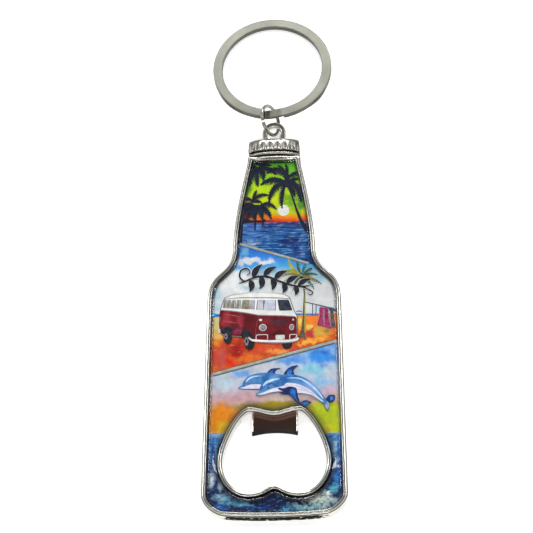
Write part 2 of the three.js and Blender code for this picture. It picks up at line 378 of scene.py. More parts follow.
def makeInkSpeckle():
    # the dither of a print: the colour a little lighter and darker from dot to dot
    tree, given, out = newGroup("inkSpeckle", [
        ("Colour", "NodeSocketColor", None), ("Vector", "NodeSocketVector", None),
        ("Strength", "NodeSocketFloat", 0.25), ("Shade", "NodeSocketFloat", 0.0),
    ], [("Colour", "NodeSocketColor"), ("Height", "NodeSocketFloat")])
    dots = addNoise(tree, given["Vector"], 5200.0, 1, 0.5)
    wash = addNoise(tree, given["Vector"], 620.0, 3, 0.5)
    both = addMath(tree, "ADD", addMath(tree, "SUBTRACT", dots, 0.5),
                   addMath(tree, "MULTIPLY", addMath(tree, "SUBTRACT", wash, 0.5), 1.8))
    gain = addMath(tree, "ADD", addMath(tree, "MULTIPLY", both, given["Strength"]), 1.0)
    dark = addMath(tree, "SUBTRACT", 1.0, given["Shade"], True)
    gain = addMath(tree, "MULTIPLY", gain, dark)
    scaled = addNode(tree, "ShaderNodeVectorMath", {0: given["Colour"], "Scale": gain},
                     operation="SCALE").outputs[0]
    tree.links.new(scaled, out["Colour"])
    tree.links.new(dots, out["Height"])
    return tree


metalGrain = makeMetalGrain()
edgeRub = makeEdgeRub()
paintBlob = makePaintBlob()
inkSpeckle = makeInkSpeckle()
print("shader groups made")


# metal finishes

rubShare = 0.35   # how far a rubbed corner goes from the metal's own tone to the bright one


def newMaterial(name):
    material = bpy.data.materials.new(name)
    material.use_nodes = True
    tree = material.node_tree
    place = addNode(tree, "ShaderNodeTexCoord").outputs["Object"]
    return material, tree, tree.nodes["Principled BSDF"], place


def useGroup(tree, group, values):
    node = tree.nodes.new("ShaderNodeGroup")
    node.node_tree = group
    for key, value in values.items():
        if isinstance(value, bpy.types.NodeSocket):
            tree.links.new(value, node.inputs[key])
        else:
            node.inputs[key].default_value = value
    return node.outputs


def metalMaterial(name, light, dark, rub, rough, bump, cloudScale=120.0, toothScale=2600.0, pits=0.3,
                  stretch=(1, 1, 1)):
    material, tree, shader, place = newMaterial(name)
    laid = addNode(tree, "ShaderNodeMapping", {"Vector": place, "Scale": stretch}).outputs[0]
    grain = useGroup(tree, metalGrain,
                     {"Vector": laid, "Cloud Scale": cloudScale, "Tooth Scale": toothScale, "Pits": pits})
    worn = useGroup(tree, edgeRub, {"Vector": place})["Mask"]
    tone = addRamp(tree, grain["Cloud"], [(0.3, dark), (0.7, light)])
    brightShare = addMath(tree, "MULTIPLY", worn, rubShare)
    tree.links.new(addMix(tree, brightShare, tone, rub), shader.inputs["Base Color"])
    low, high = rough
    spread = addRange(tree, grain["Cloud"], 0.3, 0.7, high, low)
    tree.links.new(spread, shader.inputs["Roughness"])
    shader.inputs["Metallic"].default_value = 1.0
    addBump(tree, shader, grain["Height"], bump, 0.00004)
    return material


castNickel = metalMaterial("castNickel", (0.72, 0.71, 0.66), (0.58, 0.57, 0.51), (0.88, 0.87, 0.83),
                           (0.12, 0.2), 0.05, 160.0, 1500.0)
# painted shade: near-black nickel for the recess wall and floor, the rail's groove, the cap's grooves and the
# tongue's lip, where these look dark
paintedShadeNickel = metalMaterial("paintedShadeNickel", (0.035, 0.033, 0.030), (0.015, 0.014, 0.013), (0.08, 0.08, 0.07),
                           (0.35, 0.5), 0.2)
# painted shade: a darker copy of the cast nickel for the cap, which is cast in one with the body
capShadedNickel = metalMaterial("capShadedNickel", (0.42, 0.41, 0.37), (0.31, 0.30, 0.265), (0.70, 0.69, 0.64),
                          (0.17, 0.28), 0.08, 160.0, 1500.0)
wireNickel = metalMaterial("wireNickel", (0.34, 0.33, 0.28), (0.24, 0.235, 0.20), (0.50, 0.49, 0.44),
                           (0.18, 0.3), 0.15, 300.0, 4000.0, 0.1)
# painted shade and highlight on one steel plate: the flat face dark brown for its dark mirror reflection, its
# edges bright
tongueShadedFace = metalMaterial("tongueShadedFace", (0.26, 0.14, 0.11), (0.15, 0.082, 0.066), (0.26, 0.16, 0.13),
                           (0.12, 0.22), 0.12, 240.0, 3200.0, 0.2)
tongueLitEdge = metalMaterial("tongueLitEdge", (0.80, 0.78, 0.74), (0.62, 0.60, 0.56), (0.9, 0.88, 0.84), (0.18, 0.3),
                           0.3, 500.0, 3000.0, 0.4)


# painted shade on the foot wall, standing for its dark reflection: where it thins out in millimetres towards the
# corners and towards the foot, how much lighter each makes it, and where bright metal begins and is complete
footShade = {"sideFade": (11.0, 15.2), "sideLift": 0.4, "footFade": (1.6, 0.5), "footLift": 0.12,
           "bare": (0.615, 0.68)}


def footShadeMaterial():
    # painted shade: the foot wall nearly black, standing for its dark reflection, with bright metal in specks and
    # towards the corners and the foot
    material, tree, shader, place = newMaterial("footShadeNickel")
    grain = useGroup(tree, metalGrain, {"Vector": place, "Cloud Scale": 950.0, "Tooth Scale": 2600.0, "Pits": 0.4})
    parts = addNode(tree, "ShaderNodeSeparateXYZ", {0: place}).outputs
    side = addRange(tree, addMath(tree, "ABSOLUTE", parts["X"]), *(x * mm for x in footShade["sideFade"]))
    low = addRange(tree, parts["Z"], *(z * mm for z in footShade["footFade"]))
    side = addMath(tree, "MULTIPLY", side, footShade["sideLift"])
    low = addMath(tree, "MULTIPLY", low, footShade["footLift"])
    brightShare = addMath(tree, "ADD", side, low)
    brightShare = addMath(tree, "ADD", grain["Cloud"], brightShare)
    bare = addRange(tree, brightShare, *footShade["bare"])
    dark = addRamp(tree, grain["Cloud"], [(0.35, (0.010, 0.011, 0.007)), (0.6, (0.035, 0.034, 0.022))])
    tree.links.new(addMix(tree, bare, dark, (0.78, 0.77, 0.68)), shader.inputs["Base Color"])
    tree.links.new(bare, shader.inputs["Metallic"])
    tree.links.new(addRange(tree, grain["Cloud"], 0.0, 1.0, 0.5, 0.2), shader.inputs["Roughness"])
    shader.inputs["Specular IOR Level"].default_value = 0.0
    addBump(tree, shader, grain["Height"], 0.5, 0.00005)
    return material


footShadeNickel = footShadeMaterial()


def bandMaterial(centre, dip):
    # rolled band: fine scratches round the ring's own centre
    material, tree, shader, place = newMaterial("bandNickel")
    own = addNode(tree, "ShaderNodeMapping", {
        "Vector": place, "Location": Vector(centre) * mm, "Rotation": (math.radians(-dip), 0, 0),
    }, vector_type="TEXTURE").outputs[0]
    flat = addNode(tree, "ShaderNodeVectorMath", {0: own, 1: (1, 1, 0)}, operation="MULTIPLY").outputs[0]
    radius = addNode(tree, "ShaderNodeVectorMath", {0: flat}, operation="LENGTH").outputs["Value"]
    lines = addNode(tree, "ShaderNodeCombineXYZ", {"X": addMath(tree, "MULTIPLY", radius, 9000.0)}).outputs[0]
    drift = addNode(tree, "ShaderNodeVectorMath", {0: own, 1: (90, 90, 5000)}, operation="MULTIPLY").outputs[0]
    lines = addNode(tree, "ShaderNodeVectorMath", {0: lines, 1: drift}, operation="ADD").outputs[0]
    brushed = addNode(tree, "ShaderNodeTexNoise", {"Vector": lines, "Scale": 1.0, "Detail": 3.0}).outputs["Fac"]
    cloud = addNoise(tree, place, 160.0, 3)
    tone = addRamp(tree, cloud, [(0.3, (0.128, 0.128, 0.110)), (0.7, (0.175, 0.175, 0.150))])
    tone = addMix(tree, addMath(tree, "MULTIPLY", brushed, 0.25), tone, (0.085, 0.085, 0.07))
    tree.links.new(tone, shader.inputs["Base Color"])
    rough = addRange(tree, brushed, 0.3, 0.7, 0.32, 0.46)
    tree.links.new(rough, shader.inputs["Roughness"])
    shader.inputs["Metallic"].default_value = 1.0
    addBump(tree, shader, brushed, 0.2, 0.00002)
    return material


print("metal finishes made")


# bottle body: a cast skin lofted through loops from the back, round the rail and down into the recess

bodySkin = {
    "thickness": 4.58, "edge": 0.55, "backEdge": 0.45, "floorZ": 2.7, "edgeSteps": 6,
    # inset and height along the stepped rail: land, groove, inner bead, lip of the recess
    "rail": [
        (0.59, 4.575), (0.63, 4.53), (0.655, 4.43), (0.69, 4.32), (0.75, 4.30), (0.79, 4.36), (0.81, 4.46),
        (0.86, 4.54), (0.93, 4.57), (1.00, 4.56), (1.06, 4.49), (1.10, 4.38),
    ],
    # the groove at these heights gets painted shade, the dark line a shiny groove shows
    "groove": (4.2, 4.45),
    "recess": [(1.14, 4.2), (1.20, 2.9), (1.26, 2.7)],
    # the foot wall gets painted shade between these heights; it is what lies beyond this y
    "shadedWall": (0.5, 3.7), "shadedBeyond": -50.2,
}
neckCap = {
    # the grooves between the cap's rings get painted shade
    "flutePitch": 1.93, "backRound": 0.4, "grooves": [(46.34, 46.84), (47.74, 48.05)],
    # y, half width, height at the side, height at the middle, flute height, scallop of the skirt's foot
    "stations": [
        (44.95, 6.60, 2.90, 4.40, 0, 0), (45.00, 6.85, 3.10, 4.72, 0, 0), (45.12, 6.99, 3.23, 4.92, 0, 0),
        (45.35, 7.04, 3.30, 4.99, 0, 0), (45.90, 7.04, 3.30, 4.99, 0, 0), (46.15, 6.98, 3.22, 4.90, 0, 0),
        (46.30, 6.80, 3.05, 4.60, 0, 0), (46.38, 6.55, 2.90, 4.30, 0, 0), (46.78, 6.50, 2.90, 4.27, 0, 0),
        (46.88, 6.62, 2.98, 4.47, 0, 0), (47.02, 6.71, 3.05, 4.67, 0, 0), (47.25, 6.74, 3.09, 4.74, 0, 0),
        (47.50, 6.70, 3.06, 4.68, 0, 0), (47.70, 6.58, 2.96, 4.46, 0, 0), (47.82, 6.40, 2.85, 4.22, 0, 0),
        (48.02, 6.42, 2.85, 4.22, 0, 0), (48.06, 6.72, 3.05, 4.58, 0.10, 0.2),
        (48.14, 6.85, 3.20, 4.80, 0.15, 0.2),
        (48.36, 6.88, 3.22, 4.86, 0.17, 0.14), (49.00, 6.82, 3.16, 4.84, 0.14, 0),
        (49.80, 6.76, 3.10, 4.80, 0.08, 0),
        (50.50, 6.72, 3.05, 4.73, 0.02, 0), (50.90, 6.68, 3.00, 4.65, 0, 0), (51.25, 6.60, 2.94, 4.50, 0, 0),
        (51.50, 6.48, 2.84, 4.28, 0, 0), (51.68, 6.28, 2.70, 3.98, 0, 0), (51.77, 6.00, 2.50, 3.60, 0, 0),
        (51.80, 5.60, 2.20, 3.20, 0, 0),
    ],
}
eyelet = {"y": 53.9, "outer": 3.2, "bore": 1.75, "bottomZ": 1.4, "topZ": 2.9, "edge": 0.42}
tonguePocket = {"half": 8.6, "topY": -12.6, "depth": 2.2, "corner": 0.9}


def railProfile():
    s = bodySkin
    top, edge, back = s["thickness"] - s["edge"], s["edge"], s["backEdge"]
    steps = [math.radians(90 * i / s["edgeSteps"]) for i in range(s["edgeSteps"] + 1)]
    lower = [(back * (1 - math.sin(a)), back * (1 - math.cos(a))) for a in steps]
    upper = [(edge * (1 - math.cos(a)), top + edge * math.sin(a)) for a in steps]
    return lower, upper


def makeBody():
    lower, upper = railProfile()
    profile = lower + upper + bodySkin["rail"] + bodySkin["recess"]
    outline = bottleOutline()
    bm = bmesh.new()
    outer = [addLoop(bm, shrunk(outline, inset), z) for inset, z in profile]
    inner = [addLoop(bm, holeOutline(inset), z) for inset, z in profile]
    recessFrom = len(lower + upper + bodySkin["rail"]) - 1
    # painted shade on the rail's groove and down the recess wall and floor
    for loops in (outer, inner):
        for face in bridgeLoops(bm, loops[:recessFrom + 1]):
            middle = face.calc_center_median()
            if bodySkin["groove"][0] < middle.z < bodySkin["groove"][1]:
                face.material_index = 1
        for face in bridgeLoops(bm, loops[recessFrom:]):
            face.material_index = 1
    fillRegion(bm, outer[0], inner[0])
    for face in fillRegion(bm, outer[-1], inner[-1]):
        face.material_index = 1
    bmesh.ops.remove_doubles(bm, verts=bm.verts, dist=0.001)
    bm.normal_update()
    # painted shade on the foot wall
    low, high = bodySkin["shadedWall"]
    for face in bm.faces:
        middle = face.calc_center_median()
        if middle.y < bodySkin["shadedBeyond"] and abs(face.normal.y) > 0.75 and low < middle.z < high:
            face.material_index = 2
    skins = [castNickel, paintedShadeNickel, footShadeNickel, capShadedNickel]
    return finishMesh(bm, "bottleBody", skins, "bottle", ["bottle_body"], 50)


def capSection(half, side, crown, flute):
    # anticlockwise seen from the foot: flat back, rounded back corners, walls, fluted arch
    low = neckCap["backRound"]
    section = [(half - low, 0), (half - 0.12, 0.12), (half, low), (half, side * 0.6), (half, side)]
    count = 104
    for i in range(1, count):
        x = half * (1 - 2 * i / count)
        arch = side + (crown - side) * (1 - abs(x / half) ** 2.8)
        wave = math.cos(2 * math.pi * x / neckCap["flutePitch"])
        section.append((x, arch + flute * wave))
    section += [(-x, z) for x, z in reversed(section[:5])]
    return section


def makeNeckCap():
    bm = bmesh.new()
    loops = []
    for y, half, side, crown, flute, scallop in neckCap["stations"]:
        verts = []
        for x, z in capSection(half, side, crown, flute):
            drop = scallop * math.cos(2 * math.pi * x / neckCap["flutePitch"]) if z > side + 0.02 else 0
            verts.append(bm.verts.new((x, y - drop, z)))
        loops.append([bm.edges.new(pair) for pair in zip(verts, verts[1:] + verts[:1])])
    bridgeLoops(bm, loops)
    bmesh.ops.holes_fill(bm, edges=loops[0] + loops[-1], sides=0)
    bmesh.ops.recalc_face_normals(bm, faces=bm.faces)
    for face in bm.faces:
        y = face.calc_center_median().y
        inGroove = any(low < y < high for low, high in neckCap["grooves"])
        # painted shade: the grooves take the near-black nickel, the rest of the cap the darker cap nickel
        face.material_index = 1 if inGroove else 3
    return bm


def makeEyelet():
    e = eyelet
    foot = bottle["baseY"] * -1 - 1
    ring = [Vector((e["outer"], foot))] + [
        Vector((e["outer"] * math.cos(a), e["y"] + e["outer"] * math.sin(a)))
        for a in (math.pi * i / 40 for i in range(41))
    ] + [Vector((-e["outer"], foot))]
    bore = ellipseRing(0, e["y"], e["bore"], e["bore"], 48)
    bm = bmesh.new()
    faces = fillRegion(bm, addLoop(bm, ring, e["bottomZ"]), addLoop(bm, bore, e["bottomZ"]))
    extrudeUp(bm, faces, e["topZ"] - e["bottomZ"])
    bmesh.ops.recalc_face_normals(bm, faces=bm.faces)
    rims = [edge for edge in bm.edges if edge.is_manifold and edge.calc_face_angle() > 1.2
            and abs(edge.verts[0].co.z - edge.verts[1].co.z) < 0.01]
    bmesh.ops.bevel(bm, geom=rims, offset=e["edge"], offset_type="OFFSET", segments=4, profile=0.5,
                    affect="EDGES", material=-1, clamp_overlap=True)
    return bm


def makePocketCutter():
    p = tonguePocket
    bm = bmesh.new()
    bmesh.ops.create_grid(bm, x_segments=1, y_segments=1, size=1)
    low = capHole["topLobeY"] - 4
    for vert in bm.verts:
        vert.co = (vert.co.x * p["half"], p["topY"] if vert.co.y > 0 else low, -1)
    corners = [v for v in bm.verts if v.co.y > low + 1]
    bmesh.ops.bevel(bm, geom=corners, offset=p["corner"], offset_type="OFFSET", segments=6, profile=0.5,
                    affect="VERTICES", material=-1)
    extrudeUp(bm, list(bm.faces), p["depth"] + 1)
    bmesh.ops.recalc_face_normals(bm, faces=bm.faces)
    return bm


def looseTool(bm, name):
    bmesh.ops.transform(bm, matrix=Matrix.Scale(mm, 4), verts=bm.verts)
    mesh = bpy.data.meshes.new(name)
    bm.to_mesh(mesh)
    bm.free()
    mesh.shade_smooth()
    tool = bpy.data.objects.new(name, mesh)
    scene.collection.objects.link(tool)
    return tool


bottleBody = makeBody()
cutWith(bottleBody, looseTool(makeNeckCap(), "neckCapTool"), "UNION")
cutWith(bottleBody, looseTool(makeEyelet(), "eyeletTool"), "UNION")
cutWith(bottleBody, looseTool(makePocketCutter(), "pocketTool"), "DIFFERENCE")
bottleBody.data.set_sharp_from_angle(angle=math.radians(42))
# the plain back stays flat around the pocket
for face in bottleBody.data.polygons:
    if face.normal.z < -0.999:
        face.use_smooth = False
evenShading(bottleBody)
print("body joined,", len(bottleBody.data.polygons), "faces")


# steel tongue and the two staked posts that hold it

tongue = {
    "half": 5.85, "plateHalf": 8.3, "topY": -12.9, "shelfY": -23.6, "lipY": -30.1, "lipRise": 0.75,
    "bottomZ": 0.55, "edge": 0.38, "corner": 0.7, "lipBack": 1.0,
    # how the plate is built up: rise, and how far the lip is laid back on it
    "steps": [(0.75, 0.0), (0.35, 0.22), (0.35, 0.78)],
}
post = {"x": 5.4, "y": -17.4, "shank": 1.1, "head": 1.75, "headZ": 0.06, "seatZ": 0.42, "slack": 0.3}


def makeTongue():
    t = tongue
    lip = curvePoints((-t["half"], t["lipY"]), [
        ((-t["half"] / 3, t["lipY"] + t["lipRise"] * 4 / 3), (t["half"] / 3, t["lipY"] + t["lipRise"] * 4 / 3),
         (t["half"], t["lipY"])),
    ], 20)
    c = t["corner"]
    outline = lip + [Vector(p) for p in (
        (t["half"], t["shelfY"]), (t["plateHalf"] - c, t["shelfY"]), (t["plateHalf"], t["shelfY"] + c),
        (t["plateHalf"], t["topY"] - c), (t["plateHalf"] - c, t["topY"]), (-t["plateHalf"] + c, t["topY"]),
        (-t["plateHalf"], t["topY"] - c), (-t["plateHalf"], t["shelfY"] + c), (-t["plateHalf"] + c, t["shelfY"]),
        (-t["half"], t["shelfY"]),
    )]
    eye = post["shank"] + post["slack"]
    bm = bmesh.new()
    loops = [addLoop(bm, outline, t["bottomZ"])]
    for side in (-1, 1):
        loops.append(addLoop(bm, ellipseRing(side * post["x"], post["y"], eye, eye, 36), t["bottomZ"]))
    tops = fillRegion(bm, *loops)
    lipEnd = t["lipY"] + t["lipRise"] + 0.2
    for rise, back in t["steps"]:
        tops = extrudeUp(bm, tops, rise)
        for vert in {v for face in tops for v in face.verts}:
            if vert.co.y < lipEnd:
                vert.co.y += back
                lipEnd = max(lipEnd, vert.co.y + 0.05)
    bmesh.ops.recalc_face_normals(bm, faces=bm.faces)
    sharp = [e for e in bm.edges if e.is_manifold and e.calc_face_angle() > 1.2]
    bmesh.ops.bevel(bm, geom=sharp, offset=t["edge"], offset_type="OFFSET", segments=3, profile=0.5,
                    affect="EDGES", material=-1, clamp_overlap=True)
    bm.normal_update()
    for face in bm.faces:
        onLip = face.calc_center_median().y < t["lipY"] + t["lipRise"] + t["lipBack"]
        # painted light: the flat face dark, the lip near-black shade, the edges bright
        if face.normal.z > 0.99:
            face.material_index = 0
        else:
            face.material_index = 1 if onLip and face.normal.z > 0.2 and face.normal.y < -0.3 else 2
    return finishMesh(bm, "openerTongue", [tongueShadedFace, paintedShadeNickel, tongueLitEdge], "bottle",
                      ["opener_tongue"], 12)


def makePosts():
    p = post
    bm = bmesh.new()
    for side in (-1, 1):
        for radius, low, high in ((p["shank"], p["seatZ"] - 0.1, tonguePocket["depth"] + 0.1),
                                  (p["head"], p["headZ"], p["seatZ"])):
            made = bmesh.ops.create_cone(bm, cap_ends=True, segments=40, radius1=radius, radius2=radius,
                                         depth=high - low)
            bmesh.ops.translate(bm, verts=made["verts"], vec=(side * p["x"], p["y"], (low + high) / 2))
    rims = [e for e in bm.edges if e.calc_face_angle(0) > 1.2]
    bmesh.ops.bevel(bm, geom=rims, offset=0.14, offset_type="OFFSET", segments=4, profile=0.5,
                    affect="EDGES", material=-1, clamp_overlap=True)
    return finishMesh(bm, "stakedPosts", [castNickel], "bottle")


makeTongue()
makePosts()
print("tongue staked in place")


# rings

jumpRing = {"radius": 4, "wire": 0.48, "gap": 7, "gapAt": 205, "lean": 61, "centre": (-0.87, 56.98, 4.1),
            "misfit": 0.02}
splitRing = {
    "outer": 15.98, "band": 2.48, "turn": 0.71, "between": 0.11, "centre": (-0.45, 73.1, 2.9), "dip": 7.5,
    "joinAt": 272, "ramp": 16, "endGap": 2, "corner": 0.15,
    # where the lower turn stands out past the upper one: angle, half spread, distance
    "misfit": [(226, 26, 0.24), (322, 18, 0.2), (60, 40, -0.12)],
}


def spinSection(bm, geom, degrees, steps, rise=0.0):
    made = bmesh.ops.spin(bm, geom=geom, cent=(0, 0, 0), axis=(0, 0, 1), dvec=(0, 0, rise / steps),
                          angle=math.radians(degrees), steps=steps, use_duplicate=False)
    return made["geom_last"]


def makeJumpRing():
    j = jumpRing
    bm = bmesh.new()
    bmesh.ops.create_circle(bm, cap_ends=True, segments=22, radius=j["wire"])
    stand = Matrix.Rotation(math.radians(j["gapAt"] + j["gap"] / 2), 4, "Z")
    stand = stand @ Matrix.Translation((j["radius"], 0, -j["misfit"] / 2)) @ Matrix.Rotation(math.pi / 2, 4, "X")
    bmesh.ops.transform(bm, matrix=stand, verts=bm.verts)
    spinSection(bm, list(bm.verts) + list(bm.edges) + list(bm.faces), 360 - j["gap"], 110, j["misfit"])
    bmesh.ops.recalc_face_normals(bm, faces=bm.faces)
    ends = [e for e in bm.edges if e.calc_face_angle(0) > 1.2]
    bmesh.ops.bevel(bm, geom=ends, offset=0.06, offset_type="OFFSET", segments=2, profile=0.5, affect="EDGES",
                    material=-1)
    place = Matrix.Translation(j["centre"]) @ Matrix.Rotation(math.radians(j["lean"]), 4, "Y")
    return finishMesh(bm, "jumpRing", [wireNickel], "jump_ring", ["jump_ring"], 50, place)


def makeSplitRing():
    s = splitRing
    bm = bmesh.new()
    bmesh.ops.create_grid(bm, x_segments=1, y_segments=1, size=0.5)
    bmesh.ops.scale(bm, vec=(s["band"], s["turn"], 1), verts=bm.verts)
    bmesh.ops.bevel(bm, geom=list(bm.verts), offset=s["corner"], offset_type="OFFSET", segments=4, profile=0.5,
                    affect="VERTICES", material=-1)
    climb, margin = s["turn"] + s["between"], s["ramp"] / 2 + s["endGap"]
    stand = Matrix.Rotation(math.radians(s["joinAt"] + margin), 4, "Z")
    stand = stand @ Matrix.Translation((s["outer"] - s["band"] / 2, 0, -climb / 2))
    stand = stand @ Matrix.Rotation(math.pi / 2, 4, "X")
    bmesh.ops.transform(bm, matrix=stand, verts=bm.verts)
    geom = list(bm.verts) + list(bm.edges) + list(bm.faces)
    turn = 360 - margin - s["ramp"] / 2
    geom = spinSection(bm, geom, turn, 170)
    lowerTurn = set(bm.verts)
    geom = spinSection(bm, geom, s["ramp"], 14, climb)
    spinSection(bm, geom, turn, 170)
    for vert in lowerTurn:
        angle = math.degrees(math.atan2(vert.co.y, vert.co.x)) % 360
        for at, spread, distance in s["misfit"]:
            apart = abs((angle - at + 180) % 360 - 180) / spread
            if apart < 1:
                out = vert.co.xy.normalized() * distance * math.cos(apart * math.pi / 2) ** 2
                vert.co.x += out.x
                vert.co.y += out.y
    bmesh.ops.recalc_face_normals(bm, faces=bm.faces)
    place = Matrix.Translation(s["centre"]) @ Matrix.Rotation(math.radians(-s["dip"]), 4, "X")
    band = bandMaterial(s["centre"], s["dip"])
    return finishMesh(bm, "splitRing", [band], "split_ring", ["split_ring"], 40, place)


makeJumpRing()
makeSplitRing()
print("rings linked")


# printed picture: three slanted scenes on one panel, cut along the bars and horizons

# inset and strength of painted shade on the print along the rails (outer) and around the opening (inner), where
# the dome's shoulders show it dark
picture = {"bottomZ": 2.74, "topZ": 3.0, "outer": [(1.62, 1.0), (1.78, 0.6), (2.05, 0.0)],
           "inner": [(1.4, 1.0), (1.8, 0.88), (3.3, 0.0)]}
bars = {
    "upper": {"from": (-9.6, 21.9), "to": (9.6, 15.5), "width": 0.66},
    "lower": {"from": (-16.6, -14.3), "to": (16.6, -5.7), "width": 0.8},
}
horizons = {"sunset": 27.6, "beach": 1.9, "evening": (-29.5, -30.3)}


groundSpread = 1.35   # dabs on the grounds run out wider than drawn


def addDabs(tree, place, colour, dabs, spread=1.0):
    # each dab: centre, size, colour, softness, raggedness, grain
    for centre, size, tint, softness, ragged, grain in dabs:
        dab = useGroup(tree, paintBlob, {
            "Vector": place, "Centre": Vector((*centre, 0)) * mm, "Size": Vector((*size, 1000)) * mm * spread,
            "Softness": softness, "Ragged": ragged, "Grain": grain,
        })["Mask"]
        colour = addMix(tree, dab, colour, tint)
    return colour


def washMaterial(name, base, dabs, speckle=0.22, gloss=0.5, streaks=()):
    # a painted ground with dabs and streaks of colour over it
    material, tree, shader, place = newMaterial(name)
    axis, span, stops = base
    split = addNode(tree, "ShaderNodeSeparateXYZ", {0: place}).outputs
    along = split["Y"] if axis == "y" else split["X"]
    sway = addMath(tree, "MULTIPLY", addMath(tree, "SUBTRACT", addNoise(tree, place, 260.0, 4), 0.5), 0.0022)
    along = addMath(tree, "ADD", along, sway)
    part = addRange(tree, along, span[0] * mm, span[1] * mm)
    colour = addDabs(tree, place, addRamp(tree, part, stops), dabs, groundSpread)
    for stretch, low, high, tint in streaks:
        drawn = addNode(tree, "ShaderNodeMapping", {"Vector": place, "Scale": stretch}).outputs[0]
        lines = addNode(tree, "ShaderNodeTexNoise",
                        {"Vector": drawn, "Scale": 1.0, "Detail": 4.0, "Roughness": 0.6}).outputs["Fac"]
        lines = addRange(tree, lines, low, high)
        colour = addMix(tree, lines, colour, tint)
    # painted shade from the panel's edgeShade, near the rails and the opening
    shade = addNode(tree, "ShaderNodeAttribute", attribute_name="edgeShade").outputs["Fac"]
    shade = addMath(tree, "MULTIPLY", shade, 0.93)
    ink = useGroup(tree, inkSpeckle, {"Colour": colour, "Vector": place, "Strength": speckle, "Shade": shade})
    tree.links.new(ink["Colour"], shader.inputs["Base Color"])
    shader.inputs["Roughness"].default_value = gloss
    shader.inputs["Specular IOR Level"].default_value = 0.04
    addBump(tree, shader, ink["Height"], 0.1, 0.00001)
    return material


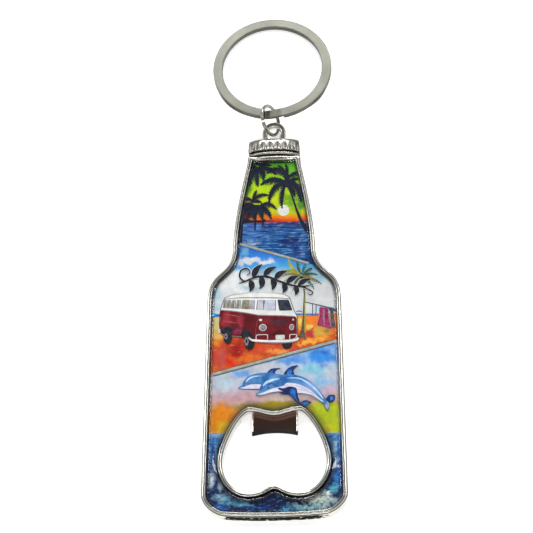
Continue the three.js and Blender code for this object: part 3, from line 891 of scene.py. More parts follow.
def pictureMaterials():
    sunsetSky = washMaterial("sunsetSky", ("y", (27.5, 45), [
        (0.0, (0.40, 0.02, 0.01)), (0.05, (0.80, 0.09, 0.008)), (0.10, (0.72, 0.30, 0.008)),
        (0.17, (0.52, 0.58, 0.008)),
        (0.6, (0.46, 0.66, 0.01)), (0.78, (0.20, 0.56, 0.02)), (1.0, (0.10, 0.46, 0.03))]), [
        ((4.0, 33.8), (1.8, 2.6), (0.14, 0.36, 0.02), 0.8, 0.6, 700.0),
        ((7.0, 33.5), (1.6, 3.4), (0.07, 0.25, 0.03), 0.7, 0.5, 700.0),
        ((-6.6, 38.5), (1.0, 4.0), (0.10, 0.28, 0.02), 0.8, 0.4, 700.0),
        ((0.0, 41.6), (1.8, 1.2), (0.34, 0.52, 0.015), 0.7, 0.5, 700.0),
        ((-7.2, 32.6), (0.9, 0.7), (0.70, 0.06, 0.02), 0.5, 0.5, 900.0),
        ((-4.2, 28.9), (3.4, 0.9), (0.66, 0.14, 0.01), 0.5, 0.7, 900.0),
        ((-7.6, 29.8), (1.5, 2.6), (0.10, 0.02, 0.015), 0.6, 0.5, 900.0),
    ], 0.2)
    deepSea = washMaterial("deepSea", ("y", (15.5, 27.6), [
        (0.0, (0.012, 0.045, 0.23)), (0.35, (0.015, 0.08, 0.27)), (0.7, (0.02, 0.11, 0.33)),
        (0.93, (0.016, 0.06, 0.22)),
        (1.0, (0.06, 0.015, 0.03))]), [
        ((-5.4, 24.6), (3.6, 2.6), (0.06, 0.18, 0.48), 0.9, 0.6, 500.0),
        ((-6.4, 26.6), (1.3, 1.0), (0.06, 0.10, 0.42), 0.6, 0.5, 900.0),
        ((4.5, 21.8), (2.6, 2.4), (0.008, 0.03, 0.15), 0.7, 0.7, 600.0),
        ((-5.6, 22.0), (2.6, 0.7), (0.25, 0.38, 0.60), 0.7, 0.8, 900.0),
        ((7.4, 23.2), (0.7, 1.6), (0.12, 0.24, 0.52), 1.0, 0.6, 900.0),
        ((7.4, 19.2), (0.7, 1.6), (0.08, 0.20, 0.50), 1.0, 0.6, 900.0),
    ], 0.4, streaks=[((170.0, 3000.0, 1.0), 0.48, 0.62, (0.003, 0.014, 0.10)),
                     ((210.0, 2300.0, 1.0), 0.545, 0.67, (0.10, 0.32, 0.60)),
                     ((330.0, 3900.0, 1.0), 0.60, 0.74, (0.52, 0.66, 0.78))])
    beachSky = washMaterial("beachSky", ("y", (1.5, 21.5), [
        (0.0, (0.62, 0.64, 0.65)), (0.5, (0.60, 0.63, 0.65)), (0.58, (0.36, 0.52, 0.62)),
        (0.68, (0.06, 0.34, 0.66)),
        (0.8, (0.04, 0.24, 0.64)), (0.93, (0.022, 0.12, 0.53)), (1.0, (0.02, 0.09, 0.45))]), [
        ((-10.5, 11.0), (5.5, 3.0), (0.74, 0.75, 0.75), 0.6, 0.5, 260.0),
        ((-15.3, 7.5), (1.8, 3.2), (0.40, 0.56, 0.64), 0.8, 0.5, 400.0),
        ((-15.0, 3.4), (1.8, 2.0), (0.48, 0.62, 0.68), 0.8, 0.5, 400.0),
        ((-6.5, 9.4), (3.4, 0.6), (0.38, 0.54, 0.60), 0.9, 0.6, 500.0),
        ((-6.0, 17.2), (2.6, 0.9), (0.66, 0.66, 0.67), 0.5, 0.7, 380.0),
        ((-2.2, 16.5), (2.7, 0.95), (0.70, 0.70, 0.71), 0.5, 0.6, 380.0),
        ((-7.6, 19.6), (1.5, 1.2), (0.12, 0.36, 0.62), 0.7, 0.8, 600.0),
        ((-8.9, 16.6), (1.2, 1.4), (0.55, 0.60, 0.64), 0.7, 0.6, 600.0),
        ((10.5, 11.2), (3.0, 1.4), (0.28, 0.52, 0.66), 0.8, 0.6, 500.0),
        ((11.0, 6.8), (5.0, 2.6), (0.60, 0.60, 0.61), 0.7, 0.4, 400.0),
        ((13.0, 2.4), (3.0, 1.3), (0.42, 0.60, 0.68), 0.6, 0.4, 400.0),
    ], 0.25)
    beachSand = washMaterial("beachSand", ("y", (-14, 2), [
        (0.0, (0.60, 0.14, 0.015)), (0.2, (0.52, 0.05, 0.02)), (0.5, (0.60, 0.07, 0.02)),
        (0.68, (0.66, 0.13, 0.02)),
        (0.9, (0.75, 0.24, 0.03)), (1.0, (0.72, 0.26, 0.05))]), [
        ((-14.8, 0.2), (2.2, 2.8), (0.62, 0.55, 0.22), 0.5, 0.4, 600.0),
        ((-14.6, -3.2), (2.0, 1.5), (0.72, 0.44, 0.10), 0.7, 0.6, 600.0),
        ((-15.0, -5.4), (1.5, 1.2), (0.70, 0.22, 0.02), 0.7, 0.6, 600.0),
        ((-13.6, -9.4), (1.6, 3.6), (0.50, 0.08, 0.06), 0.8, 0.6, 500.0),
        ((-9.2, -7.4), (3.4, 3.6), (0.30, 0.012, 0.010), 0.9, 0.8, 420.0),
        ((-11.2, -11.0), (1.8, 1.6), (0.66, 0.03, 0.01), 0.8, 0.7, 500.0),
        ((-6.0, -10.2), (5.0, 1.5), (0.68, 0.15, 0.02), 0.8, 0.7, 500.0),
        ((0.0, -7.6), (4.5, 1.6), (0.62, 0.08, 0.03), 0.8, 0.8, 500.0),
        ((1.6, -8.4), (4.0, 0.7), (0.76, 0.30, 0.05), 0.8, 0.8, 700.0),
        ((8.4, -6.2), (3.2, 0.8), (0.80, 0.40, 0.05), 0.7, 0.8, 700.0),
        ((9.6, 0.0), (2.2, 1.5), (0.80, 0.20, 0.03), 0.5, 0.5, 600.0),
        ((6.2, -0.6), (0.7, 1.2), (0.78, 0.60, 0.08), 0.6, 0.6, 900.0),
        ((8.8, -1.9), (1.1, 0.7), (0.80, 0.58, 0.10), 0.6, 0.6, 900.0),
        ((9.2, -3.8), (2.0, 1.0), (0.46, 0.04, 0.05), 0.8, 0.9, 600.0),
        ((12.4, -3.2), (2.3, 1.6), (0.58, 0.36, 0.05), 0.6, 0.6, 500.0),
        ((13.6, -3.0), (1.0, 0.8), (0.36, 0.20, 0.05), 0.6, 0.6, 800.0),
        ((11.6, -5.2), (2.8, 0.7), (0.82, 0.36, 0.04), 0.7, 0.7, 700.0),
    ], 0.35, streaks=[((300.0, 900.0, 1.0), 0.62, 0.8, (0.80, 0.36, 0.05)),
                      ((500.0, 700.0, 1.0), 0.64, 0.85, (0.32, 0.01, 0.02))])
    eveningSky = washMaterial("eveningSky", ("y", (-30.3, -6), [
        (0.0, (0.62, 0.36, 0.02)), (0.26, (0.60, 0.26, 0.02)), (0.33, (0.50, 0.30, 0.22)),
        (0.42, (0.52, 0.38, 0.42)),
        (0.52, (0.50, 0.50, 0.58)), (0.7, (0.46, 0.52, 0.60)), (0.85, (0.28, 0.48, 0.70)),
        (1.0, (0.08, 0.28, 0.70))]), [
        ((12.0, -10.2), (5.0, 2.2), (0.05, 0.26, 0.70), 0.7, 0.7, 300.0),
        ((4.2, -10.6), (3.4, 1.2), (0.10, 0.30, 0.72), 0.8, 0.8, 400.0),
        ((12.2, -9.0), (2.6, 0.6), (0.03, 0.16, 0.56), 1.0, 0.4, 500.0),
        ((9.6, -13.4), (3.6, 1.8), (0.24, 0.54, 0.64), 0.8, 0.7, 400.0),
        ((12.4, -16.8), (3.0, 1.6), (0.22, 0.46, 0.68), 0.8, 0.7, 400.0),
        ((-8.2, -14.2), (2.8, 1.0), (0.16, 0.34, 0.66), 0.8, 0.8, 400.0),
        ((-12.8, -16.2), (3.4, 2.2), (0.44, 0.56, 0.64), 0.8, 0.6, 400.0),
        ((-2.0, -12.6), (4.4, 1.4), (0.52, 0.54, 0.58), 0.8, 0.7, 400.0),
        ((13.8, -18.8), (2.0, 1.2), (0.54, 0.38, 0.48), 0.8, 0.6, 500.0),
        ((-8.0, -20.2), (7.0, 1.6), (0.52, 0.32, 0.36), 0.9, 0.4, 400.0),
        ((2.0, -20.6), (6.0, 1.2), (0.56, 0.44, 0.38), 0.9, 0.4, 400.0),
        ((-13.0, -26.4), (3.6, 4.6), (0.66, 0.22, 0.012), 0.5, 0.35, 400.0),
        ((-11.6, -28.4), (3.0, 2.2), (0.60, 0.40, 0.015), 0.7, 0.3, 400.0),
        ((0.0, -22.9), (10.0, 1.3), (0.34, 0.26, 0.012), 0.6, 0.3, 400.0),
        ((13.2, -26.4), (4.6, 4.8), (0.42, 0.50, 0.015), 0.45, 0.3, 400.0),
        ((12.8, -29.2), (2.2, 1.4), (0.60, 0.52, 0.02), 0.8, 0.5, 500.0),
    ], 0.4)
    eveningSea = washMaterial("eveningSea", ("y", (-51, -29.5), [
        (0.0, (0.006, 0.012, 0.05)), (0.25, (0.008, 0.018, 0.08)), (0.45, (0.02, 0.06, 0.25)),
        (0.7, (0.03, 0.12, 0.42)),
        (0.92, (0.05, 0.20, 0.50)), (1.0, (0.30, 0.44, 0.55))]), [
        ((-15.6, -34.0), (0.5, 3.4), (0.02, 0.08, 0.34), 1.0, 0.4, 900.0),
        ((-14.9, -36.4), (0.35, 4.4), (0.24, 0.46, 0.66), 1.0, 0.3, 900.0),
        ((-16.2, -35.4), (0.3, 3.6), (0.10, 0.30, 0.58), 1.0, 0.3, 900.0),
        ((-15.8, -41.8), (1.0, 2.4), (0.62, 0.72, 0.74), 1.0, 0.4, 900.0),
        ((-13.4, -43.4), (0.7, 1.9), (0.50, 0.64, 0.70), 1.0, 0.4, 900.0),
        ((-15.4, -45.4), (1.3, 1.2), (0.004, 0.012, 0.06), 1.0, 0.5, 900.0),
        ((-13.2, -46.4), (2.6, 1.2), (0.26, 0.44, 0.58), 1.0, 0.7, 900.0),
        ((-10.6, -47.4), (3.4, 0.9), (0.10, 0.36, 0.52), 1.0, 0.7, 1200.0),
        ((-7.4, -48.4), (2.4, 0.5), (0.16, 0.44, 0.66), 1.0, 0.6, 1200.0),
        ((-13.2, -48.8), (2.0, 0.8), (0.02, 0.12, 0.48), 1.0, 0.6, 1200.0),
        ((-4.4, -49.2), (3.6, 0.5), (0.01, 0.08, 0.34), 1.0, 0.5, 1200.0),
        ((15.2, -34.2), (0.6, 2.8), (0.36, 0.56, 0.70), 1.0, 0.5, 900.0),
        ((15.3, -37.8), (0.7, 1.4), (0.40, 0.62, 0.74), 1.0, 0.6, 1200.0),
        ((15.4, -39.0), (0.9, 0.5), (0.80, 0.84, 0.84), 1.0, 0.5, 1200.0),
        ((15.2, -41.6), (1.0, 2.4), (0.03, 0.20, 0.58), 1.0, 0.5, 900.0),
        ((14.4, -44.6), (1.6, 1.6), (0.10, 0.42, 0.58), 1.0, 0.7, 1200.0),
        ((12.4, -47.6), (4.2, 1.8), (0.52, 0.66, 0.62), 1.0, 0.8, 1200.0),
        ((10.6, -47.0), (2.4, 0.6), (0.78, 0.80, 0.66), 1.0, 0.8, 1200.0),
        ((13.6, -46.2), (1.8, 0.7), (0.72, 0.80, 0.76), 1.0, 0.8, 1200.0),
        ((8.2, -49.0), (4.2, 0.8), (0.26, 0.52, 0.56), 1.0, 0.8, 1200.0),
        ((3.4, -49.6), (3.4, 0.5), (0.05, 0.26, 0.44), 1.0, 0.8, 1200.0),
    ], 0.45, streaks=[((900.0, 2100.0, 1.0), 0.52, 0.68, (0.004, 0.014, 0.07)),
                      ((700.0, 2600.0, 1.0), 0.58, 0.72, (0.14, 0.42, 0.66)),
                      ((1100.0, 3200.0, 1.0), 0.66, 0.78, (0.66, 0.78, 0.78))])
    return [sunsetSky, deepSea, beachSky, beachSand, eveningSky, eveningSea]


def makePicture():
    p = picture
    outline = bottleOutline()
    bm = bmesh.new()
    shade = bm.verts.layers.float.new("edgeShade")
    rings = []
    for side, outlineOf in (("outer", lambda inset: shrunk(outline, inset)), ("inner", holeOutline)):
        loops = []
        for number, (inset, value) in enumerate(p[side]):
            loop = addLoop(bm, outlineOf(inset), p["topZ"] - number * 0.002)
            for edge in loop:
                for vert in edge.verts:
                    vert[shade] = value
            loops.append(loop)
        bridgeLoops(bm, loops)
        rings.append(loops)
    fillRegion(bm, rings[0][-1], rings[1][-1])
    cuts = [((bar["from"], bar["to"])) for bar in bars.values()]
    cuts += [((-20, horizons["sunset"]), (20, horizons["sunset"])),
             ((-20, horizons["beach"]), (20, horizons["beach"]))]
    cuts += [((-20, horizons["evening"][0]), (20, horizons["evening"][1]))]
    for start, end in cuts:
        along = (Vector(end) - Vector(start)).normalized()
        bmesh.ops.bisect_plane(bm, geom=list(bm.verts) + list(bm.edges) + list(bm.faces), dist=0.0001,
                               plane_co=(*start, 0), plane_no=(-along.y, along.x, 0))
    for face in bm.faces:
        c = face.calc_center_median()
        above = [(end[0] - start[0]) * (c.y - start[1]) > (end[1] - start[1]) * (c.x - start[0])
                 for start, end in cuts]
        if above[0]:
            face.material_index = 0 if above[2] else 1
        elif above[1]:
            face.material_index = 2 if above[3] else 3
        else:
            face.material_index = 4 if above[4] else 5
    bmesh.ops.recalc_face_normals(bm, faces=bm.faces)
    if sum(face.normal.z for face in bm.faces) < 0:
        bmesh.ops.reverse_faces(bm, faces=bm.faces)
    extrudeUp(bm, list(bm.faces), p["bottomZ"] - p["topZ"])
    return finishMesh(bm, "picturePanel", pictureMaterials(), "bottle", ["picture_panel"], 30)


makePicture()
print("picture laid in")


# raised ink: flat shapes standing on the picture, all in millimetres

def inkMaterial(name, first, second, scale=500.0, speckle=0.2, gloss=0.35, stops=(0.35, 0.65), glints=()):
    material, tree, shader, place = newMaterial(name)
    tone = addRamp(tree, addNoise(tree, place, scale, 4), [(stops[0], first), (stops[1], second)])
    tone = addDabs(tree, place, tone, glints)
    ink = useGroup(tree, inkSpeckle, {"Colour": tone, "Vector": place, "Strength": speckle})
    tree.links.new(ink["Colour"], shader.inputs["Base Color"])
    shader.inputs["Roughness"].default_value = gloss
    shader.inputs["Specular IOR Level"].default_value = 0.04
    addBump(tree, shader, ink["Height"], 0.08, 0.00001)
    return material


def addShape(bm, ring, height, slot=0, pillow=0.0):
    # a closed outline raised off the panel; pillow rounds its upper edge in by that much
    low = picture["topZ"] - 0.02
    verts = [bm.verts.new((p[0], p[1], low)) for p in ring]
    face = bm.faces.new(verts)
    face.normal_update()
    if face.normal.z < 0:
        face.normal_flip()
    face.material_index = slot
    tops = extrudeUp(bm, [face], height + 0.02)
    if pillow:
        for step, share in ((0.35, 0.55), (0.35, 0.3), (0.3, 0.15)):
            bmesh.ops.inset_region(bm, faces=tops, thickness=pillow * step, depth=pillow * share,
                                   use_boundary=True, use_even_offset=True)
    return tops


def frondRing(base, bend, tip, width, teeth=9, hang=1, ragged=0.35):
    # a palm leaf: smooth rib on one side, hanging leaflets on the other
    base, bend, tip = Vector(base), Vector(bend), Vector(tip)
    count = teeth * 2
    spine = [base.lerp(bend, t).lerp(bend.lerp(tip, t), t) for t in (i / count for i in range(count + 1))]
    upper, lower = [], []
    for i, p in enumerate(spine):
        t = i / count
        out = normalAt(spine, i, False) * hang
        full = width * (math.sin(math.pi * min(1, 0.12 + 0.86 * t)) ** 0.7)
        along = (tip - base).normalized() * full * 0.35
        upper.append(p - out * full * (0.28 if i % 2 else 0.16))
        reach = full * (1 if i % 2 else ragged) * dice.uniform(0.85, 1.15)
        lower.append(p + out * reach + (along if i % 2 else Vector((0, 0))))
    return upper + lower[::-1]


silhouettes = {
    # a frond's drawn width grows by the first factor on its hanging side and by the second on its back
    "height": 0.05, "layer": 0.002, "fullness": (1.55, 0.7),
    # base, bend, tip, width, teeth, side the leaflets hang
    "fronds": [
        ((3.4, 40.7), (0.9, 44.6), (-1.9, 41.6), 1.15, 9, -1), ((3.5, 40.8), (3.4, 42.6), (3.0, 44.4), 0.6, 6, 1),
        ((3.8, 40.6), (5.2, 41.6), (5.9, 41.9), 0.9, 6, 1), ((3.6, 41.2), (2.2, 43.6), (1.0, 44.0), 0.6, 6, -1),
        ((3.2, 38.9), (-0.4, 41.4), (-3.6, 38.4), 1.25, 11, -1),
        ((2.8, 38.6), (-0.9, 38.9), (-1.4, 33.2), 1.15, 11, -1),
        ((3.0, 38.2), (1.9, 36.0), (2.2, 31.4), 0.85, 9, 1), ((4.2, 39.1), (6.6, 39.3), (7.2, 33.2), 1.2, 10, 1),
        ((4.2, 39.6), (5.4, 40.4), (6.4, 39.6), 0.8, 6, 1), ((3.6, 38.4), (4.9, 37.6), (5.6, 34.6), 0.8, 8, 1),
        ((-4.2, 42.9), (-6.6, 42.8), (-6.4, 38.0), 1.0, 9, -1),
        ((-4.2, 42.6), (-4.6, 40.6), (-4.1, 38.0), 0.9, 8, 1),
        ((-4.0, 42.7), (-2.2, 42.8), (-2.8, 39.6), 1.0, 8, 1),
        ((-4.0, 43.0), (-1.4, 44.2), (0.6, 41.2), 0.95, 9, 1),
        ((-4.4, 43.2), (-2.8, 45.2), (-0.6, 43.9), 0.7, 7, 1),
        ((-4.4, 43.3), (-5.4, 44.8), (-5.9, 43.2), 0.7, 6, -1),
        ((-5.6, 34.0), (-4.0, 36.6), (-1.0, 35.2), 0.75, 9, 1),
        ((-5.7, 34.0), (-5.4, 36.0), (-4.6, 37.0), 0.55, 6, 1),
        ((-5.8, 34.0), (-7.2, 35.6), (-8.0, 33.9), 0.7, 6, -1),
        ((-5.4, 33.6), (-4.2, 34.4), (-3.2, 33.2), 0.6, 6, 1),
        ((-4.4, 31.8), (-1.6, 34.6), (0.7, 31.2), 0.95, 11, 1),
        ((-4.4, 31.6), (-1.6, 32.6), (-0.7, 28.5), 1.0, 9, 1),
        ((-4.6, 31.6), (-3.0, 31.4), (-3.0, 28.4), 0.9, 8, 1),
        ((-4.8, 31.6), (-5.0, 30.2), (-4.9, 28.2), 0.8, 7, 1),
        ((-4.8, 31.8), (-7.4, 33.2), (-8.4, 29.6), 1.1, 9, -1),
        ((-4.8, 31.6), (-6.8, 31.4), (-7.0, 28.6), 0.9, 8, -1),
        ((-4.8, 32.0), (-6.6, 34.2), (-8.3, 32.4), 0.8, 7, -1),
    ],
    "crowns": [(3.5, 40.5, 0.9, 0.9), (3.5, 38.7, 1.7, 1.2), (-4.2, 42.8, 1.2, 0.9), (-5.6, 33.9, 0.7, 0.6),
               (-4.6, 31.6, 2.2, 1.2),
               (-3.4, 44.5, 1.6, 0.5), (-7.6, 31.6, 0.9, 1.2)],
    "trunksAndShade": [
        ([(3.7, 38.2), (4.9, 34.6), (6.0, 30.8), (7.2, 27.6), (8.7, 24.9)], [0.5, 0.45, 0.6, 0.95, 1.3]),
        ([(3.6, 40.6), (3.6, 39.4), (3.5, 38.4)], [0.9, 1.0, 1.2]),
        ([(-4.7, 31.2), (-4.9, 28.6), (-5.0, 25.4)], [0.7, 0.6, 0.35]),
        # painted shade beside the neck's left rail, drawn as a dark trunk
        ([(-8.4, 31.0), (-8.7, 27.0), (-8.8, 22.2)], [1.0, 1.1, 0.9]),
        ([(-2.6, 28.6), (-2.9, 27.4), (-3.0, 26.2)], [0.7, 0.5, 0.15]),
        ([(-8.2, 28.2), (-5.6, 28.0), (-3.2, 28.0), (-0.8, 28.1)], [1.3, 0.7, 0.5, 0.1]),
    ],
    "sun": (2.5, 30.95, 1.5, 1.55),
}


def makeSilhouettes():
    s = silhouettes
    bm = bmesh.new()
    addShape(bm, ellipseRing(*s["sun"], 40), 0.03, 1)
    step, layer = s["height"], s["layer"]
    full, backFull = s["fullness"]
    for base, bend, tip, width, teeth, hang in s["fronds"]:
        addShape(bm, frondRing(base, bend, tip, width * full, teeth + 3, hang), step)
        addShape(bm, frondRing(base, bend, tip, width * backFull, teeth, -hang), step + layer / 2)
        step += layer
    for crown in s["crowns"]:
        step += layer
        addShape(bm, ellipseRing(*crown), step)
    for path, widths in s["trunksAndShade"]:
        step += layer
        addShape(bm, ribbonRing(path, widths), step)
    ink = inkMaterial("nightInk", (0.010, 0.012, 0.022), (0.016, 0.020, 0.045), 900.0, 0.3)
    sun = inkMaterial("paleSun", (0.66, 0.66, 0.66), (0.76, 0.76, 0.75), 700.0, 0.1)
    return finishMesh(bm, "sunsetPalms", [ink, sun], "bottle")


beachPalm = {
    "leaves": [
        ((7.0, 12.4), (4.4, 14.6), (3.8, 17.2), 0.75, 8, -1, 1),
        ((7.0, 12.6), (5.6, 14.6), (6.0, 16.8), 0.8, 7, 1, 0),
        ((7.2, 12.6), (7.4, 15.0), (8.4, 16.0), 0.8, 7, 1, 2),
        ((7.3, 12.5), (9.0, 14.6), (10.0, 14.4), 0.9, 8, 1, 0),
        ((7.3, 12.3), (9.4, 13.6), (11.4, 12.4), 0.9, 8, 1, 0),
        ((7.3, 12.1), (10.0, 12.2), (12.4, 9.8), 0.9, 9, 1, 3),
        ((7.2, 11.9), (9.2, 11.6), (10.4, 8.4), 0.7, 8, 1, 0),
        ((6.9, 12.5), (4.6, 14.8), (1.4, 13.4), 0.95, 9, -1, 1),
        ((6.9, 12.1), (4.0, 12.6), (1.8, 10.2), 0.8, 8, -1, 1),
        ((6.9, 11.9), (5.2, 11.4), (4.8, 8.2), 0.7, 7, -1, 0),
        ((7.1, 12.0), (7.2, 10.4), (6.4, 8.8), 0.5, 6, -1, 3),
        ((7.0, 12.4), (3.4, 13.8), (2.0, 12.2), 0.6, 7, -1, 3),
    ],
    "trunk": ([(7.3, 11.6), (7.8, 7.6), (7.7, 3.0), (7.6, -0.6), (7.3, -3.4), (6.9, -4.8)],
              [0.4, 0.45, 0.6, 0.8, 1.3, 2.4]),
    "bark": ([(7.5, 8.6), (7.9, 4.0), (7.8, -0.4), (7.9, -3.4)], [0.12, 0.16, 0.2, 0.2]),
    "nut": (7.1, 11.8, 0.42, 0.42),
}


def makeBeachPalm():
    b = beachPalm
    bm = bmesh.new()
    addShape(bm, ribbonRing(*b["trunk"]), 0.05, 4)
    addShape(bm, ribbonRing(*b["bark"]), 0.07, 1)
    height = 0.08
    for *leaf, slot in b["leaves"]:
        addShape(bm, frondRing(*leaf), height, slot)
        height += 0.006
    addShape(bm, ellipseRing(*b["nut"]), height + 0.02, 5)
    inks = [
        inkMaterial("leafDark", (0.02, 0.07, 0.05), (0.08, 0.14, 0.05), 900.0, 0.3),
        inkMaterial("leafGold", (0.50, 0.42, 0.04), (0.24, 0.30, 0.04), 800.0, 0.3),
        inkMaterial("leafTeal", (0.05, 0.22, 0.24), (0.03, 0.12, 0.12), 900.0, 0.3),
        inkMaterial("leafRust", (0.36, 0.17, 0.03), (0.16, 0.16, 0.05), 900.0, 0.3),
        inkMaterial("palmBark", (0.07, 0.06, 0.045), (0.15, 0.13, 0.08), 1500.0, 0.3),
        inkMaterial("coconut", (0.012, 0.014, 0.02), (0.03, 0.03, 0.04), 900.0, 0.2),
    ]
    return finishMesh(bm, "beachPalm", inks, "bottle")


beachHut = {
    "roof": ([(8.0, 5.0), (11.0, 4.2), (14.2, 3.2), (15.8, 2.9)], [0.25, 0.3, 0.5, 0.5]),
    "roofEnd": [(13.6, 3.6), (15.6, 3.1), (15.6, 2.2), (14.2, 2.4)],
    "beams": [([(9.9, 4.3), (9.9, 3.0), (9.8, 1.4)], [0.28, 0.24, 0.2]),
              ([(10.8, 4.1), (10.8, 3.0), (10.7, 1.4)], [0.3, 0.24, 0.2])],
    "curtain": [(11.7, 3.4), (12.8, 3.3), (13.8, 3.1), (14.3, 0.6), (14.7, -2.4), (13.4, -2.2), (12.2, -1.8),
                (11.1, -1.4), (11.6, 1.0)],
    "folds": [([(12.8, 2.9), (12.7, 0.8), (12.9, -1.6)], [0.4, 0.5, 0.3]),
              ([(13.9, 2.2), (14.2, 0.0), (14.6, -2.0)], [0.25, 0.3, 0.2])],
    "post": [(14.3, 2.8), (15.2, 2.6), (15.6, -2.2), (14.7, -2.4)],
    "seaRight": ([(5.6, 1.75), (8.0, 1.6), (11.4, 1.3)], [0.4, 0.5, 0.45]),
    "seaLeft": [(-16.6, 2.6), (-15.4, 2.5), (-14.0, 2.3), (-13.8, 1.7), (-15.4, 1.5), (-16.6, 1.5)],
    "rail": ([(5.6, 2.4), (6.6, 2.6), (7.2, 2.2)], [0.2, 0.3, 0.2]),
}


def makeBeachHut():
    b = beachHut
    bm = bmesh.new()
    addShape(bm, b["seaLeft"], 0.02, 2)
    addShape(bm, ribbonRing(*b["seaRight"]), 0.02, 2)
    for beam in b["beams"]:
        addShape(bm, ribbonRing(*beam), 0.03, 0)
    addShape(bm, b["post"], 0.025, 0)
    addShape(bm, smoothRing(b["curtain"], 4), 0.03, 1)
    for fold in b["folds"]:
        addShape(bm, ribbonRing(*fold), 0.04, 3)
    addShape(bm, b["roofEnd"], 0.035, 0)
    addShape(bm, ribbonRing(*b["roof"]), 0.045, 0)
    addShape(bm, ribbonRing(*b["rail"]), 0.03, 0)
    inks = [
        inkMaterial("hutShadow", (0.05, 0.05, 0.08), (0.13, 0.13, 0.16), 900.0, 0.3),
        inkMaterial("plumCurtain", (0.22, 0.02, 0.08), (0.36, 0.05, 0.14), 700.0, 0.3),
        inkMaterial("farSea", (0.02, 0.10, 0.42), (0.06, 0.26, 0.56), 1200.0, 0.4),
        inkMaterial("curtainLight", (0.34, 0.22, 0.30), (0.26, 0.10, 0.18), 900.0, 0.3),
    ]
    return finishMesh(bm, "beachHut", inks, "bottle")


def barEnds(bar, half):
    start, end = Vector(bar["from"]), Vector(bar["to"])
    slope = (end.y - start.y) / (end.x - start.x)
    return [(x, start.y + (x - start.x) * slope) for x in (-half, -half / 3, half / 3, half)]


def makeBars():
    bm = bmesh.new()
    for bar, half, edge in ((bars["upper"], 8.95, 0.12), (bars["lower"], 15.75, 0.34)):
        ends, width = barEnds(bar, half), bar["width"]
        addShape(bm, ribbonRing(ends, [width + edge] * 4, 2), 0.08, 1)
        addShape(bm, ribbonRing(ends, [width] * 4, 2), 0.12, 0, 0.16)
        addShape(bm, ribbonRing([(x, y + width * 0.17) for x, y in ends], [width * 0.2] * 4, 2), 0.25, 2)
    inks = [
        inkMaterial("barSilver", (0.29, 0.31, 0.26), (0.42, 0.44, 0.38), 700.0, 0.2, 0.3),
        inkMaterial("barShadow", (0.06, 0.07, 0.06), (0.13, 0.14, 0.11), 900.0, 0.2, 0.4),
        inkMaterial("barGroove", (0.24, 0.25, 0.20), (0.32, 0.33, 0.28), 900.0, 0.2, 0.3),
    ]
    return finishMesh(bm, "dividerBars", inks, "bottle")


# a leafy sprig brushed across the sky
sprig = {
    "stem": ([(-9.2, 10.6), (-7.4, 11.2), (-4.6, 12.3), (-1.6, 12.2), (1.4, 10.9), (4.6, 9.7), (7.6, 9.3),
              (10.4, 9.9)],
             [0.15, 0.4, 0.55, 0.6, 0.55, 0.5, 0.4, 0.12]),
    "tendrils": [
        ([(-7.6, 11.1), (-8.9, 12.3), (-8.6, 14.2), (-7.0, 14.7), (-6.3, 13.6), (-7.1, 12.9)],
         [0.3, 0.4, 0.45, 0.4, 0.3, 0.12]),
        ([(7.0, 9.3), (8.6, 8.6), (10.0, 7.6), (9.4, 6.9), (8.6, 7.4)], [0.3, 0.35, 0.3, 0.25, 0.1]),
    ],
    # root, bend and tip of each leaf, and its half width
    "leaves": [
        ((-5.4, 12.1), (-5.2, 14.4), (-3.0, 15.8), 0.62), ((-2.6, 12.4), (-1.8, 14.4), (0.6, 14.9), 0.6),
        ((0.2, 11.5), (1.2, 13.4), (3.4, 13.7), 0.58), ((3.2, 10.1), (4.4, 12.0), (6.4, 12.2), 0.55),
        ((6.2, 9.4), (7.4, 11.2), (9.4, 11.2), 0.5), ((-6.4, 11.6), (-5.2, 9.6), (-6.4, 8.2), 0.6),
        ((-3.8, 12.4), (-2.4, 10.6), (-3.8, 8.9), 0.62), ((-0.8, 12.0), (0.6, 10.2), (-0.6, 8.5), 0.6),
        ((2.2, 10.6), (3.4, 9.0), (2.2, 7.6), 0.56), ((5.2, 9.5), (6.4, 8.2), (5.4, 6.9), 0.5),
    ],
    "rim": 0.17, "height": 0.34, "layer": 0.003, "fullness": 1.3,
}


def leafRing(root, bend, tip, half):
    root, bend, tip = Vector(root), Vector(bend), Vector(tip)
    shares = [i / 14 for i in range(15)]
    spine = [root.lerp(bend, t).lerp(bend.lerp(tip, t), t) for t in shares]
    widths = [half * math.sin(math.pi * t ** 0.8) + 0.03 for t in shares]
    left = [p + normalAt(spine, i, False) * widths[i] for i, p in enumerate(spine)]
    right = [p - normalAt(spine, i, False) * widths[i] for i, p in enumerate(spine)]
    return left + right[::-1]


def makeSprig():
    bm = bmesh.new()
    rim, layer, full = sprig["rim"], sprig["layer"], sprig["fullness"]
    lines = [sprig["stem"]] + sprig["tendrils"]
    for root, bend, tip, half in sprig["leaves"]:
        addShape(bm, leafRing(root, bend, tip, half * full + rim), 0.19, 1)
    for path, widths in lines:
        addShape(bm, ribbonRing(path, [w + rim * 2 for w in widths]), 0.2, 1)
    height = sprig["height"]
    for root, bend, tip, half in sprig["leaves"]:
        addShape(bm, leafRing(root, bend, tip, half * full), height, 0)
        height += layer
    for path, widths in lines:
        addShape(bm, ribbonRing(path, widths), height + 0.01, 0)
        height += layer
    inks = [
        inkMaterial("sprigBlack", (0.012, 0.014, 0.018), (0.030, 0.034, 0.044), 900.0, 0.2, 0.2),
        inkMaterial("sprigRim", (0.66, 0.67, 0.66), (0.82, 0.83, 0.83), 900.0, 0.15, 0.3),
    ]
    return finishMesh(bm, "leafSprig", inks, "bottle")


